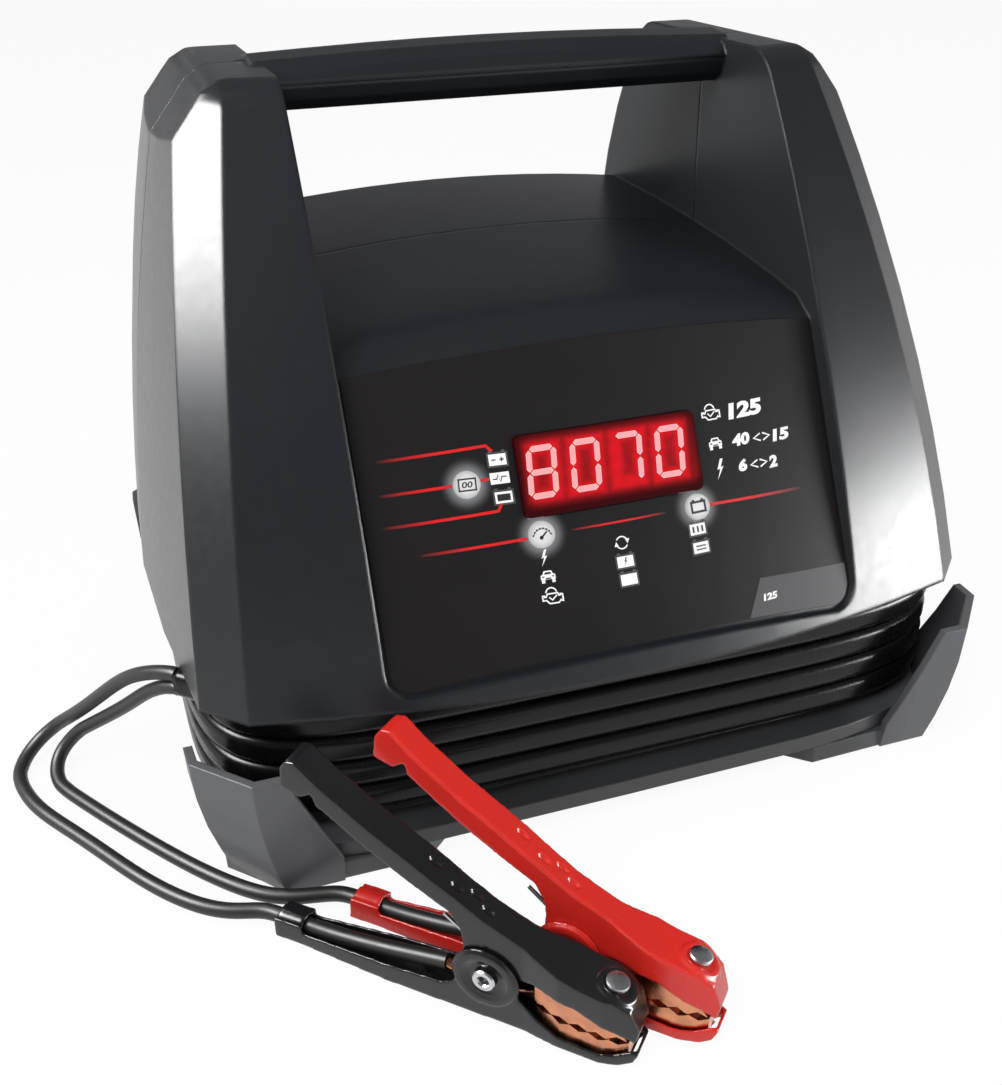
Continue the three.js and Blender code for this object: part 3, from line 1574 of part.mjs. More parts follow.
const leadShape = new THREE.Shape(
  arc(0, 0, leadDiameter / 2, 0, 360 - 360 / leadSides, leadSides - 1).map(
    ([x, y]) => new THREE.Vector2(x, y),
  ),
);
for (const site of clampSites) {
  const path = leadPath(site);
  const steps = Math.round(path.getLength() / (stepsPerDiameter * leadDiameter));
  const geometry = new THREE.ExtrudeGeometry(leadShape, {
    steps,
    extrudePath: path,
    bevelEnabled: false,
  });
  addNode(`${site.name}_lead`, toSolid(geometry), jacket);
  console.log(`${site.name} lead: free length`, path.getLength().toFixed(0), "mm");
}

export default root;
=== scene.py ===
"""Looks for a car battery charger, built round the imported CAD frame.

Metres, +Z up, front towards -Y. Sizes named without MM are in millimetres.
"""

import json
import math
import bmesh
import bpy
from mathutils import Matrix, Vector
from mathutils.geometry import tessellate_polygon


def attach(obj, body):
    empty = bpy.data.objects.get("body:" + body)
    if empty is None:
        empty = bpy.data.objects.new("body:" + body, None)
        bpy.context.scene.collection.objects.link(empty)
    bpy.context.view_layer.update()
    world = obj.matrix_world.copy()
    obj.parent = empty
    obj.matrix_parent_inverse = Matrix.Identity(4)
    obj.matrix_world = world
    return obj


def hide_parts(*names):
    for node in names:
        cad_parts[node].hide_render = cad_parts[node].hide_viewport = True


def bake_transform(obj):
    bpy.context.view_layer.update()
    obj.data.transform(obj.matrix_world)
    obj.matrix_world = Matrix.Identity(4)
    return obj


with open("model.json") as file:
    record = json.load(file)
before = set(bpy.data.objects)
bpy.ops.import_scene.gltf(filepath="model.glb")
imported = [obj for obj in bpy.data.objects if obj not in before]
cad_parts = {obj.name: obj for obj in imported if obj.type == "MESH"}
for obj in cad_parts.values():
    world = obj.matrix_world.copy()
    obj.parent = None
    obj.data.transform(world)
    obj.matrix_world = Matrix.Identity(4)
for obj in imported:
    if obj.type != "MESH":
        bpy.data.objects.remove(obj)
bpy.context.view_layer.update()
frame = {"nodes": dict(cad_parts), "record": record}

MM = 0.001
CASE = "charger"

# ---- the photograph's camera
PHOTO_WIDTH = 1002  # pixels
FOCAL_PIXELS = 1250.61
SENSOR = 36.0
CAMERA_AT = Vector((-185.74, -517.37, 360.53)) * MM
YAW, PITCH, ROLL = (math.radians(a) for a in (18.861, 28.677, -0.8015))


def put(name, data):
    """An object of this data, linked into the scene."""
    made = bpy.data.objects.new(name, data)
    bpy.context.scene.collection.objects.link(made)
    return made


def make_camera():
    """Level camera turned right by YAW and down by PITCH, then rolled."""
    data = bpy.data.cameras.new("camera")
    data.sensor_fit = "HORIZONTAL"
    data.sensor_width = SENSOR
    data.lens = SENSOR * FOCAL_PIXELS / PHOTO_WIDTH
    data.clip_start = 0.01
    camera = put("camera", data)
    turn = Matrix.Rotation(-YAW, 4, "Z") @ Matrix.Rotation(math.pi / 2 - PITCH, 4, "X")
    roll = Matrix.Rotation(ROLL, 4, "Z")
    camera.matrix_world = Matrix.Translation(CAMERA_AT) @ turn @ roll
    bpy.context.scene.camera = camera


make_camera()

# ---- material helpers


class Nodes:
    """A node tree, with short names for the nodes that the finishes and the room need."""

    def __init__(self, tree):
        self.tree = tree

    def node(self, kind, **settings):
        made = self.tree.nodes.new("ShaderNode" + kind)
        for key, value in settings.items():
            if key in made.inputs:
                made.inputs[key].default_value = value
            else:
                setattr(made, key, value)
        return made

    def link(self, source, target):
        self.tree.links.new(source, target)

    def parts(self, source):
        """The X, Y and Z of a vector."""
        made = self.node("SeparateXYZ")
        self.link(source, made.inputs["Vector"])
        return made.outputs

    def maths(self, operation, *values):
        """One maths node over sockets or plain numbers."""
        made = self.node("Math", operation=operation)
        for value, target in zip(values, made.inputs):
            if isinstance(value, (int, float)):
                target.default_value = value
            else:
                self.link(value, target)
        return made.outputs[0]

    def vectors(self, operation, source, fixed):
        """One vector maths node over a socket and a fixed vector."""
        made = self.node("VectorMath", operation=operation)
        self.link(source, made.inputs[0])
        made.inputs[1].default_value = fixed
        return made.outputs

    def eased(self, source, low, high):
        """0 at low to 1 at high, with soft ends."""
        made = self.node("MapRange", interpolation_type="SMOOTHSTEP")
        self.link(source, made.inputs["Value"])
        made.inputs["From Min"].default_value = low
        made.inputs["From Max"].default_value = high
        return made.outputs["Result"]

    def ramp(self, source, stops):
        """A ramp over source: stops are (position, colour or value)."""
        made = self.node("ValToRGB")
        self.link(source, made.inputs["Fac"])
        marks = made.color_ramp.elements
        while len(marks) < len(stops):
            marks.new(0.5)
        for mark, (at, value) in zip(marks, stops):
            mark.position = at
            mark.color = (*value, 1) if isinstance(value, tuple) else (value, value, value, 1)
        return made.outputs["Color"]


class Shader(Nodes):
    """A Principled material."""

    def __init__(self, name, colour, rough, metal=0.0, **sockets):
        self.material = bpy.data.materials.new(name)
        self.material.use_nodes = True
        super().__init__(self.material.node_tree)
        self.main = self.tree.nodes["Principled BSDF"]
        self.set("Base Color", (*colour, 1))
        self.set("Roughness", rough)
        self.set("Metallic", metal)
        for key, value in sockets.items():
            self.set(key.replace("_", " "), value)
        self.place = self.node("TexCoord").outputs["Object"]

    def set(self, socket, value):
        self.main.inputs[socket].default_value = value

    def noise(self, scale, detail, place=None):
        made = self.node("TexNoise", Scale=scale, Detail=detail)
        self.link(place or self.place, made.inputs["Vector"])
        return made.outputs["Fac"]

    def stretched(self, x, y, z):
        """Object coordinates scaled unevenly, for grain that runs one way."""
        made = self.node("Mapping", Scale=(x, y, z))
        self.link(self.place, made.inputs["Vector"])
        return made.outputs["Vector"]

    def vary(self, socket, source, stops):
        self.link(self.ramp(source, stops), self.main.inputs[socket])

    def bump(self, source, strength, distance, corner=0.0):
        """Fine relief; a moulded edge's shading is softened over a corner in millimetres."""
        made = self.node("Bump", Strength=strength, Distance=distance)
        self.link(source, made.inputs["Height"])
        self.link(made.outputs["Normal"], self.main.inputs["Normal"])
        if corner:
            edge = self.node("Bevel", samples=6, Radius=corner * MM)
            self.link(edge.outputs["Normal"], made.inputs["Normal"])

    def glow(self, colour, strength):
        self.set("Emission Color", (*colour, 1))
        self.set("Emission Strength", strength)


def moulded(name, colour, rough, grain=2600, depth=0.00004, spread=0.25, **sockets):
    """Moulded plastic: slow colour drift, fine spark-eroded grain and patchy sheen."""
    s = Shader(name, colour, rough, **sockets)
    dark = tuple(c * (1 - spread) for c in colour)
    light = tuple(min(c * (1 + spread), 1) for c in colour)
    s.vary("Base Color", s.noise(14, 4), [(0.3, dark), (0.7, light)])
    s.vary("Roughness", s.noise(220, 3), [(0.3, rough * 0.95), (0.7, min(rough * 1.06, 1))])
    s.bump(s.noise(grain, 2), 0.35, depth)
    return s.material


# ---- control panel's surface
PANEL = {"low_y": -145.88, "low_z": 83.3, "slope": 0.514, "bulge": 20.0, "half": 153.6}
SLOPE_LENGTH = math.hypot(1, PANEL["slope"])
LENS = {"x": -1.0, "s": 77.2, "proud": 0.6, "width": 76.0, "height": 32.0}
BUTTONS = {
    "button_display": (-59.3, 76.6),
    "button_rate": (-33.5, 54.0),
    "button_type": (33.3, 54.0),
}
BUTTON_PROUD = 1.0
# The digits' places in the lens: first digit's middle, spacing, half width, half height, lean.
CELL = {"first": -29.5, "pitch": 18.05, "half": 5.1, "rise": 9.1, "middle": 78.3, "slant": 0.085}


def panel_axes(x):
    """Across, up the slope and out of the panel, at a place across it."""
    across = Vector((1, 2 * PANEL["bulge"] * x / PANEL["half"] ** 2, 0)).normalized()
    up = Vector((0, PANEL["slope"], 1)) / SLOPE_LENGTH
    out = across.cross(up).normalized()
    return across, out.cross(across), out


def on_panel(x, s, out=0.0):
    """A point on the panel in metres, from x and the distance s up the slope in millimetres."""
    z = PANEL["low_z"] + s / SLOPE_LENGTH
    run = PANEL["slope"] * (z - PANEL["low_z"])
    y = PANEL["low_y"] + run + PANEL["bulge"] * (x / PANEL["half"]) ** 2
    return (Vector((x, y, z)) + panel_axes(x)[2] * out) * MM


def on_flat(site):
    """Like on_panel, but on the flat face of a control that sits in the panel at site."""
    across, up, out = panel_axes(site[0])
    middle = on_panel(*site)

    def place(x, s, proud=0.0):
        return middle + (across * x + up * s + out * proud) * MM

    return place


# ---- finishes
CASE_SHADE = (0.0085, 0.0105, 0.0135)
# painted light: the paler colour given to the pillars' inner walls
INNER_WALL_PAINTED_LIGHT = (0.030, 0.033, 0.037)
COARSE = {"depth": 0.00006}  # metres, like every depth of grain
PRINTED = {"grain": 900, "depth": 0.00001}
MOULDED = {
    "black_rubber": ((0.012, 0.012, 0.012), 0.75, {"grain": 1500}),
    "black_plastic": ((0.02, 0.02, 0.02), 0.5, {}),
    "lead_jacket": ((0.014, 0.014, 0.0125), 0.42, {"grain": 500, **COARSE}),
    "wound_jacket": (
        (0.0035, 0.0035, 0.004),
        0.27,
        {"grain": 320, "Specular_IOR_Level": 0.24, **COARSE},
    ),
    "black_vinyl": ((0.008, 0.008, 0.009), 0.22, {"grain": 420, **COARSE}),
    "red_vinyl": ((0.56, 0.018, 0.012), 0.26, {"grain": 420, "spread": 0.1, **COARSE}),
    "board": ((0.03, 0.16, 0.06), 0.4, {}),
    "coil_wire": ((0.5, 0.28, 0.08), 0.5, {}),
    "ink_grey": (
        (0.082, 0.082, 0.086),
        0.4,
        {"spread": 0.05, "Specular_IOR_Level": 0.1, **PRINTED},
    ),
    "ink_black": ((0.010, 0.010, 0.010), 0.5, PRINTED),
}
finishes = {
    name: moulded(name, colour, rough, **grain) for name, (colour, rough, grain) in MOULDED.items()
}


def metal(name, colour, rough):
    """Plated or drawn metal: directional fine grain with dull and bright patches."""
    s = Shader(name, colour, rough, 1.0)
    dull = tuple(c * 0.75 for c in colour)
    s.vary("Base Color", s.noise(150, 4), [(0.35, dull), (0.65, colour)])
    s.vary("Roughness", s.noise(160, 5), [(0.3, rough * 0.75), (0.7, rough * 1.35)])
    s.bump(s.noise(6, 3, s.stretched(60, 900, 60)), 0.3, 0.00002)
    return s.material


def ink(name, colour, glow):
    """Printed ink, or a lit segment where the glow outdoes the studio's light."""
    s = Shader(name, colour, 0.45)
    s.set("Specular IOR Level", 0.15)
    full = tuple(c * (1 - glow) for c in colour)
    dull = tuple(c * 0.9 for c in full)
    s.vary("Base Color", s.noise(700, 3), [(0.35, dull), (0.65, full)])
    s.bump(s.noise(2500, 2), 0.2, 0.00001)
    s.glow(colour, glow)
    return s.material


def fading_ink(name, colour, ground, glow):
    """Ink that fades into the film along each stroke, by the stroke's own fade value."""
    s = Shader(name, colour, 0.5)
    s.set("Specular IOR Level", 0.2)
    fade = s.node("Attribute", attribute_name="fade").outputs["Fac"]
    grain = s.ramp(s.noise(900, 3), [(0.3, 0.9), (0.7, 1.0)])
    mixed = s.ramp(s.maths("MULTIPLY", fade, grain), [(0.0, ground), (1.0, colour)])
    s.link(mixed, s.main.inputs["Base Color"])
    s.link(mixed, s.main.inputs["Emission Color"])
    s.set("Emission Strength", glow)
    return s.material


def near_point(s, point, inner, outer):
    """1 at inner or nearer to a point, falling softly to nothing at outer, in metres."""
    return s.eased(s.vectors("DISTANCE", s.place, point)["Value"], outer, inner)


def panel_film():
    """Satin black film, with the soft light that each lit button throws round itself."""
    dark, light = (0.0110, 0.0100, 0.0105), (0.0125, 0.0113, 0.0118)
    s = Shader("panel_film", (0.0135, 0.0125, 0.013), 0.42)
    s.set("Specular IOR Level", 0.12)
    s.vary("Base Color", s.noise(30, 4), [(0.3, dark), (0.7, light)])
    s.vary("Roughness", s.noise(300, 3), [(0.3, 0.40), (0.7, 0.44)])
    s.bump(s.noise(2200, 2), 0.25, 0.00001)
    halos = [near_point(s, on_panel(*site), 0.0042, 0.0120) for site in BUTTONS.values()]
    total = s.maths("ADD", s.maths("ADD", halos[0], halos[1]), halos[2])
    s.set("Emission Color", (0.92, 0.96, 1.0, 1))
    strength = s.maths("MULTIPLY", s.maths("POWER", total, 1.9), 0.26)
    s.link(strength, s.main.inputs["Emission Strength"])
    return s.material


def lit_cap(name):
    """Back-lit translucent cap: bright in the middle, greyer towards its rim."""
    s = Shader(name, (0.8, 0.82, 0.84), 0.35)
    bright = near_point(s, on_panel(*BUTTONS[name], BUTTON_PROUD), 0.0, 0.0062)
    mottle = s.noise(700, 3)
    level = s.maths("MULTIPLY_ADD", mottle, 0.12, bright)
    s.vary("Emission Color", level, [(0.0, 0.36), (0.5, 0.70), (1.0, 0.78)])
    s.set("Emission Strength", 0.8)
    s.vary("Base Color", mottle, [(0.3, 0.12), (0.7, 0.15)])
    return s.material


def glowing_lens():
    """Dark red window, lit from behind: brightest round each digit's bars."""
    s = Shader("display_lens", (0.016, 0.0003, 0.0006), 0.3)
    s.set("Specular IOR Level", 0.12)
    across, up, _ = panel_axes(LENS["x"])
    offset = s.vectors("SUBTRACT", s.place, on_panel(LENS["x"], LENS["s"]))["Vector"]
    along = [s.vectors("DOT_PRODUCT", offset, axis)["Value"] for axis in (across, up)]
    x, y = (s.maths("MULTIPLY", metres, 1 / MM) for metres in along)
    y = s.maths("SUBTRACT", y, CELL["middle"] - LENS["s"])
    wide = s.eased(s.maths("ABSOLUTE", x), LENS["width"] / 2, LENS["width"] / 2 - 7)
    high = s.eased(s.maths("ABSOLUTE", y), LENS["height"] / 2 - 0.5, LENS["height"] / 2 - 6)
    band = s.maths("MULTIPLY", wide, high)
    lean = s.maths("MULTIPLY_ADD", y, -CELL["slant"], x)
    half = CELL["pitch"] / 2
    first = CELL["first"] - LENS["x"]
    cell = s.maths("WRAP", s.maths("SUBTRACT", lean, first), half, -half)
    out_x = s.maths("SUBTRACT", s.maths("ABSOLUTE", cell), CELL["half"])
    out_y = s.maths("SUBTRACT", s.maths("ABSOLUTE", y), CELL["rise"])
    from_bar = s.maths("ABSOLUTE", s.maths("MAXIMUM", out_x, out_y))
    glow = s.eased(from_bar, 4.6, 0.8)
    cloudy = s.ramp(s.noise(260, 2), [(0.3, 0.75), (0.7, 1.0)])
    inside = s.maths("MULTIPLY", s.maths("MULTIPLY", band, 0.55), cloudy)
    bars = s.maths("MULTIPLY", glow, 0.42)
    total = s.maths("MULTIPLY_ADD", bars, s.maths("POWER", band, 0.5), inside)
    unlit, dim, lit = (0.020, 0.0008, 0.0015), (0.26, 0.006, 0.009), (0.78, 0.008, 0.016)
    s.vary("Emission Color", total, [(0.0, unlit), (0.4, dim), (1.0, lit)])
    s.set("Emission Strength", 1.0)
    return s.material


def base_plastic():
    """Grained plastic, paler at the corner cleats; the plate between them is darkened with painted
    shade.
    """
    s = Shader("base_plastic", (0.075, 0.078, 0.086), 0.4)
    place = s.parts(s.place)
    side = s.eased(s.maths("ABSOLUTE", place["X"]), 0.10, 0.145)
    end = s.eased(s.maths("ABSOLUTE", place["Y"]), 0.07, 0.11)
    drift = s.maths("MULTIPLY_ADD", s.noise(14, 4), 0.2, s.maths("MULTIPLY", side, end))
    # painted shade: away from the corner cleats the plate is coloured darker
    shaded, pale, palest = (0.022, 0.023, 0.024), (0.080, 0.083, 0.091), (0.086, 0.089, 0.097)
    s.vary("Base Color", drift, [(0.0, shaded), (1.0, pale), (1.0, palest)])
    s.vary("Roughness", s.noise(220, 3), [(0.3, 0.38), (0.7, 0.42)])
    s.bump(s.noise(1100, 2), 0.35, 0.00006, corner=1.2)
    return s.material


def case_plastic():
    """Dark moulded case: dull and painted paler, as painted light, on the pillars' inner walls;
    glossier on its outer sides.
    """
    s = Shader("case_plastic", CASE_SHADE, 0.33)
    place, normal = s.parts(s.place), s.parts(s.node("NewGeometry").outputs["Normal"])
    outward = s.maths("MULTIPLY", s.maths("SIGN", place["X"]), normal["X"])
    share = s.maths("MULTIPLY_ADD", outward, 0.5, 0.5)  # 0 facing the middle, 1 facing out
    gloss = [(0.0, 0.12), (0.15, 0.12), (0.3, 0.5), (0.9, 0.5), (0.97, 0.85)]
    s.vary("Specular IOR Level", share, gloss)
    shade = s.node("VectorMath", operation="MULTIPLY")
    # painted light: faces that look towards the middle get a paler colour than the rest of the case
    walls = [(0.0, INNER_WALL_PAINTED_LIGHT), (0.15, INNER_WALL_PAINTED_LIGHT), (0.3, CASE_SHADE)]
    s.link(s.ramp(share, walls), shade.inputs[0])
    s.link(s.ramp(s.noise(14, 4), [(0.3, 0.90), (0.7, 1.0)]), shade.inputs[1])
    s.link(shade.outputs["Vector"], s.main.inputs["Base Color"])
    s.vary("Roughness", s.noise(220, 3), [(0.3, 0.314), (0.7, 0.35)])
    s.bump(s.noise(1100, 2), 0.35, 0.00005, corner=2.2)
    return s.material


finishes.update(
    {
        "base_plastic": base_plastic(),
        "case_plastic": case_plastic(),
        "zinc_steel": metal("zinc_steel", (0.66, 0.67, 0.69), 0.25),
        "copper": metal("copper", (0.74, 0.31, 0.17), 0.24),
        "core_steel": metal("core_steel", (0.22, 0.22, 0.23), 0.5),
        "aluminium": metal("aluminium", (0.7, 0.7, 0.72), 0.35),
        "panel_film": panel_film(),
        "display_lens": glowing_lens(),
        "ink_white": ink("ink_white", (0.88, 0.88, 0.88), 0.1),
        "ink_red": fading_ink("ink_red", (0.58, 0.010, 0.012), (0.012, 0.011, 0.011), 0.1),
        "segment_edge": ink("segment_edge", (1.0, 0.62, 0.60), 0.95),
        "segment_core": ink("segment_core", (1.0, 0.42, 0.44), 0.95),
    }
)
CAPS = {name: lit_cap(name) for name in BUTTONS}


def smooth_group():
    """Geometry nodes that smooth the shading, except over edges sharper than SHARP."""
    group = bpy.data.node_groups.new("smooth_by_angle", "GeometryNodeTree")
    for side in ("INPUT", "OUTPUT"):
        group.interface.new_socket("Geometry", in_out=side, socket_type="NodeSocketGeometry")
    make = group.nodes.new
    start, end = make("NodeGroupInput"), make("NodeGroupOutput")
    faces, edges = make("GeometryNodeSetShadeSmooth"), make("GeometryNodeSetShadeSmooth")
    edges.domain = "EDGE"
    edges.inputs["Shade Smooth"].default_value = False
    angle = make("GeometryNodeInputMeshEdgeAngle")
    sharp = make("FunctionNodeCompare")
    sharp.inputs[1].default_value = SHARP
    group.links.new(start.outputs[0], faces.inputs["Geometry"])
    group.links.new(faces.outputs[0], edges.inputs["Geometry"])
    group.links.new(angle.outputs["Unsigned Angle"], sharp.inputs[0])
    group.links.new(sharp.outputs[0], edges.inputs["Selection"])
    group.links.new(edges.outputs[0], end.inputs[0])
    return group


SHARP = math.radians(24)
smooth_by_angle = smooth_group()
slot_of = {part["node"]: part["material_slot"] for part in frame["record"]["subparts"]}


def soften(made):
    """Smooth shading over shallow facets, weighted so that large faces stay flat."""
    weld = made.modifiers.new("weld", "WELD")
    weld.merge_threshold = 0.01 * MM
    made.modifiers.new("smooth", "NODES").node_group = smooth_by_angle
    weighted = made.modifiers.new("weighted", "WEIGHTED_NORMAL")
    weighted.keep_sharp = True
    weighted.mode = "FACE_AREA_WITH_ANGLE"


def dress_nodes():
    for name, node in frame["nodes"].items():
        finish = CAPS.get(name) or finishes[slot_of[name]]
        node.data.materials.clear()
        node.data.materials.append(finish)
        soften(node)


dress_nodes()

# ---- free leads and the wound lead
CLAMPS = {
    "black": {"at": (-153.1, -155.1), "roll": 0.0},
    "red": {"at": (-124.3, -157.0), "roll": math.radians(6)},
}
CLAMP_HEADING = math.radians(-43.9)
CLAMP_LOWER_HALF = 7.6
LEAD_DIAMETER = 6.2
LEAD_TIGHTEST = 2.3 * LEAD_DIAMETER
EASE_ALL = 26  # rounds of easing over a whole free lead
EASE_TIGHT = 400  # and the most rounds where it is still too tight
ROUTE_STEPS = 8
LEAD_AXIS_W = 5.3
TWIN = {"x": 169.5, "y": 130.0, "power": 6, "turns": 3.66, "steps": 40, "pitch": 12.6}
TWIN_SIDES = 18
TWIN_THICKNESS = 8.0
TWIN_HEIGHT = 12.0
TWIN_START_Z = 23.8
FIT = 0.3
# Where the wound lead leaves the neck, from its last point on it.
TWIN_EXIT = [(-3.4, 10, 0.5), (-8.2, 18, 0.8), (-14, 24.5, 0.4)]
# Routes of the free leads over the floor, and their last points inside a clamp.
ROUTES = {
    "black": [
        (-190, -63, 67), (-199, -50, 56), (-209, -38, 42), (-219, -25, 28), (-228, -14, 17),
        (-237, -8, 9), (-245, -11, 4.5), (-249, -22, 3.5), (-247, -37, 3.5), (-241, -55, 3.5),
        (-228, -74, 3.5), (-215, -94, 3.5), (-201, -116, 3.5), (-186, -134, 3.5),
        (-172, -145, 3.8),
    ],
    "red": [
        (-187, -65, 59), (-195, -54, 47), (-205, -42, 35), (-215, -31, 24), (-224, -21, 14),
        (-232, -16, 6.5), (-237, -21, 3.6), (-237, -31, 3.5), (-230, -44, 3.5),
        (-216, -66, 3.5), (-201, -88, 3.5), (-183, -113, 3.5), (-163, -136, 3.5),
        (-148, -146, 3.8),
    ],
}
IN_CLAMP = [(-9, 0, -0.4), (-2, 0, 0), (12, 0, 0), (24, 0, 0.3), (44, 0, 2.4), (72, 0, 7)]


def clamp_matrix(colour):
    """From a clamp's own frame (u forward, v across, w up, in millimetres) to the row frame."""
    clamp = CLAMPS[colour]
    lift = CLAMP_LOWER_HALF * math.sin(clamp["roll"])
    return (
        Matrix.Translation((*clamp["at"], lift))
        @ Matrix.Rotation(CLAMP_HEADING, 4, "Z")
        @ Matrix.Rotation(-clamp["roll"], 4, "X")
    )


def neck_path(per_turn):
    """Points round the neck, half spread by length and half by turning, from the back's middle."""
    turns = TWIN["turns"]
    fine = 4000
    power = 2 / TWIN["power"]

    def signed(v):
        return math.copysign(abs(v) ** power, v)

    around = []
    for i in range(fine + 1):
        angle = math.pi / 2 - i / fine * 2 * math.pi
        around.append((TWIN["x"] * signed(math.cos(angle)), TWIN["y"] * signed(math.sin(angle))))
    length, turning, heading = [0.0], [0.0], None
    for (x0, y0), (x1, y1) in zip(around, around[1:]):
        now = math.atan2(y1 - y0, x1 - x0)
        turn = 0.0 if heading is None else abs(now - heading)
        turning.append(turning[-1] + min(turn, 2 * math.pi - turn))
        length.append(length[-1] + math.hypot(x1 - x0, y1 - y0))
        heading = now
    share = [(a / length[-1] + b / turning[-1]) / 2 for a, b in zip(length, turning)]
    points = []
    steps = round(turns * per_turn)
    for k in range(steps + 1):
        turn = turns * k / steps
        want = turn - math.floor(turn)
        i = max(1, next(n for n, s in enumerate(share) if s >= want))
        t = (want - share[i - 1]) / max(share[i] - share[i - 1], 1e-9)
        x = around[i - 1][0] + (around[i][0] - around[i - 1][0]) * t
        y = around[i - 1][1] + (around[i][1] - around[i - 1][1]) * t
        gone = (length[i - 1] + (length[i] - length[i - 1]) * t) / length[-1]
        points.append(Vector((x, y, TWIN_START_Z + TWIN["pitch"] * (math.floor(turn) + gone))))
    return points


def centripetal(points, per_span):
    """Centripetal Catmull-Rom through the points, as even short steps."""

    def mix(p, q, start, end, t):
        return p * ((end - t) / (end - start)) + q * ((t - start) / (end - start))

    ends = [points[0] * 2 - points[1], *points, points[-1] * 2 - points[-2]]
    out = []
    for p0, p1, p2, p3 in zip(ends, ends[1:], ends[2:], ends[3:]):
        t1 = (p1 - p0).length ** 0.5
        t2 = t1 + (p2 - p1).length ** 0.5
        t3 = t2 + (p3 - p2).length ** 0.5
        for k in range(per_span):
            t = t1 + (t2 - t1) * k / per_span
            middle = mix(p1, p2, t1, t2, t)
            first = mix(mix(p0, p1, 0, t1, t), middle, 0, t2, t)
            second = mix(middle, mix(p2, p3, t2, t3, t), t1, t3, t)
            out.append(mix(first, second, t1, t2, t))
    out.append(points[-1].copy())
    return out


def finished(mesh, finish, smooth=True):
    """The mesh itself, in one finish and shaded smooth or flat."""
    mesh.materials.clear()
    mesh.materials.append(finishes[finish])
    for polygon in mesh.polygons:
        polygon.use_smooth = smooth
    return mesh


def new_mesh(name, verts, faces, finish, smooth=True):
    """An object from vertices in metres."""
    mesh = bpy.data.meshes.new(name)
    mesh.from_pydata([tuple(v) for v in verts], [], faces)
    mesh.update()
    return put(name, finished(mesh, finish, smooth))


def mesh_of(curve):
    """The mesh that a curve draws, in place of the curve."""
    drawn = put(curve.name, curve)
    mesh = bpy.data.meshes.new_from_object(drawn)
    bpy.data.objects.remove(drawn)
    bpy.data.curves.remove(curve)
    return mesh


def face_outwards(made):
    bm = bmesh.new()
    bm.from_mesh(made.data)
    bmesh.ops.recalc_face_normals(bm, faces=bm.faces)
    bm.to_mesh(made.data)
    bm.free()


def round_wire(name, path, radius, finish, resolution=5):
    """Round wire along a path given in metres."""
    curve = bpy.data.curves.new(name, "CURVE")
    curve.dimensions = "3D"
    spline = curve.splines.new("POLY")
    spline.points.add(len(path) - 1)
    for point, p in zip(spline.points, path):
        point.co = (*p, 1)
    spline.use_smooth = True
    curve.bevel_depth = radius * MM
    curve.bevel_resolution = resolution
    curve.use_fill_caps = True
    return put(name, finished(mesh_of(curve), finish))


def twin_section():
    """Figure-of-eight section of a flat twin lead, as (across, up) from its centre."""
    points = []
    for k in range(TWIN_SIDES):
        angle = 2 * math.pi * k / TWIN_SIDES
        across = math.cos(angle)
        up = math.sin(angle)
        waist = 1 - 0.16 * math.exp(-((up / 0.26) ** 2))
        round_x = math.copysign(abs(across) ** 0.8, across)
        points.append((TWIN_THICKNESS / 2 * round_x * waist, TWIN_HEIGHT / 2 * up))
    return points


def ring_pairs(rings, count):
    """Each point and its neighbour, on every ring of count points but the last."""
    for start in range(0, (rings - 1) * count, count):
        for k in range(count):
            yield start + k, start + (k + 1) % count


def swept(name, path, section, finish):
    """A closed skin of the section along the path, kept upright."""
    verts = []
    for i, p in enumerate(path):
        ahead = (path[min(i + 1, len(path) - 1)] - path[max(i - 1, 0)]).normalized()
        across = Vector((-ahead.y, ahead.x, 0)).normalized()
        up = ahead.cross(across)
        verts += [(p + across * a + up * b) * MM for a, b in section]
    n = len(section)
    faces = [(a, a + n, b + n, b) for a, b in ring_pairs(len(path), n)]
    faces.append(tuple(range(n)))
    faces.append(tuple(reversed(range((len(path) - 1) * n, len(path) * n))))
    made = new_mesh(name, verts, faces, finish)
    face_outwards(made)
    return made


def make_wound_lead():
    """The twin lead round the neck; gives back its path with wider steps."""
    coarse = neck_path(TWIN["steps"])
    last = coarse[-1]
    tail = [last + Vector(step) for step in TWIN_EXIT]
    fine = neck_path(3 * TWIN["steps"])
    path = [*fine[:-1], *centripetal([fine[-2], last, *tail], 4)[4:]]
    made = swept("wound_twin_lead", path, twin_section(), "wound_jacket")
    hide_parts("wound_lead")
    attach(made, CASE)
    return [*coarse, *tail]


def bend_radius(a, b, c):
    """Radius of the circle through three points."""
    twice_area = max((b - a).cross(c - a).length, 5e-10)
    return (b - a).length * (c - b).length * (a - c).length / (2 * twice_area)


def eased_route(path, held):
    """Evens out the bends of a limp lead, but not of its first points or of its clamp end."""
    points = [p.copy() for p in path]
    floor = LEAD_DIAMETER / 2 + FIT
    free = range(4, len(points) - held)

    def ease(places):
        before = [p.copy() for p in points]
        for i in places:
            points[i] = before[i] * 0.4 + (before[i - 1] + before[i + 1]) * 0.3
            points[i].z = max(points[i].z, floor)

    for _ in range(EASE_ALL):
        ease(free)
    for _ in range(EASE_TIGHT):
        tight = [i for i in free if bend_radius(*points[i - 2 : i + 3 : 2]) < LEAD_TIGHTEST]
        if not tight:
            break
        ease(sorted({j for i in tight for j in range(i - 4, i + 5)} & set(free)))
    return points


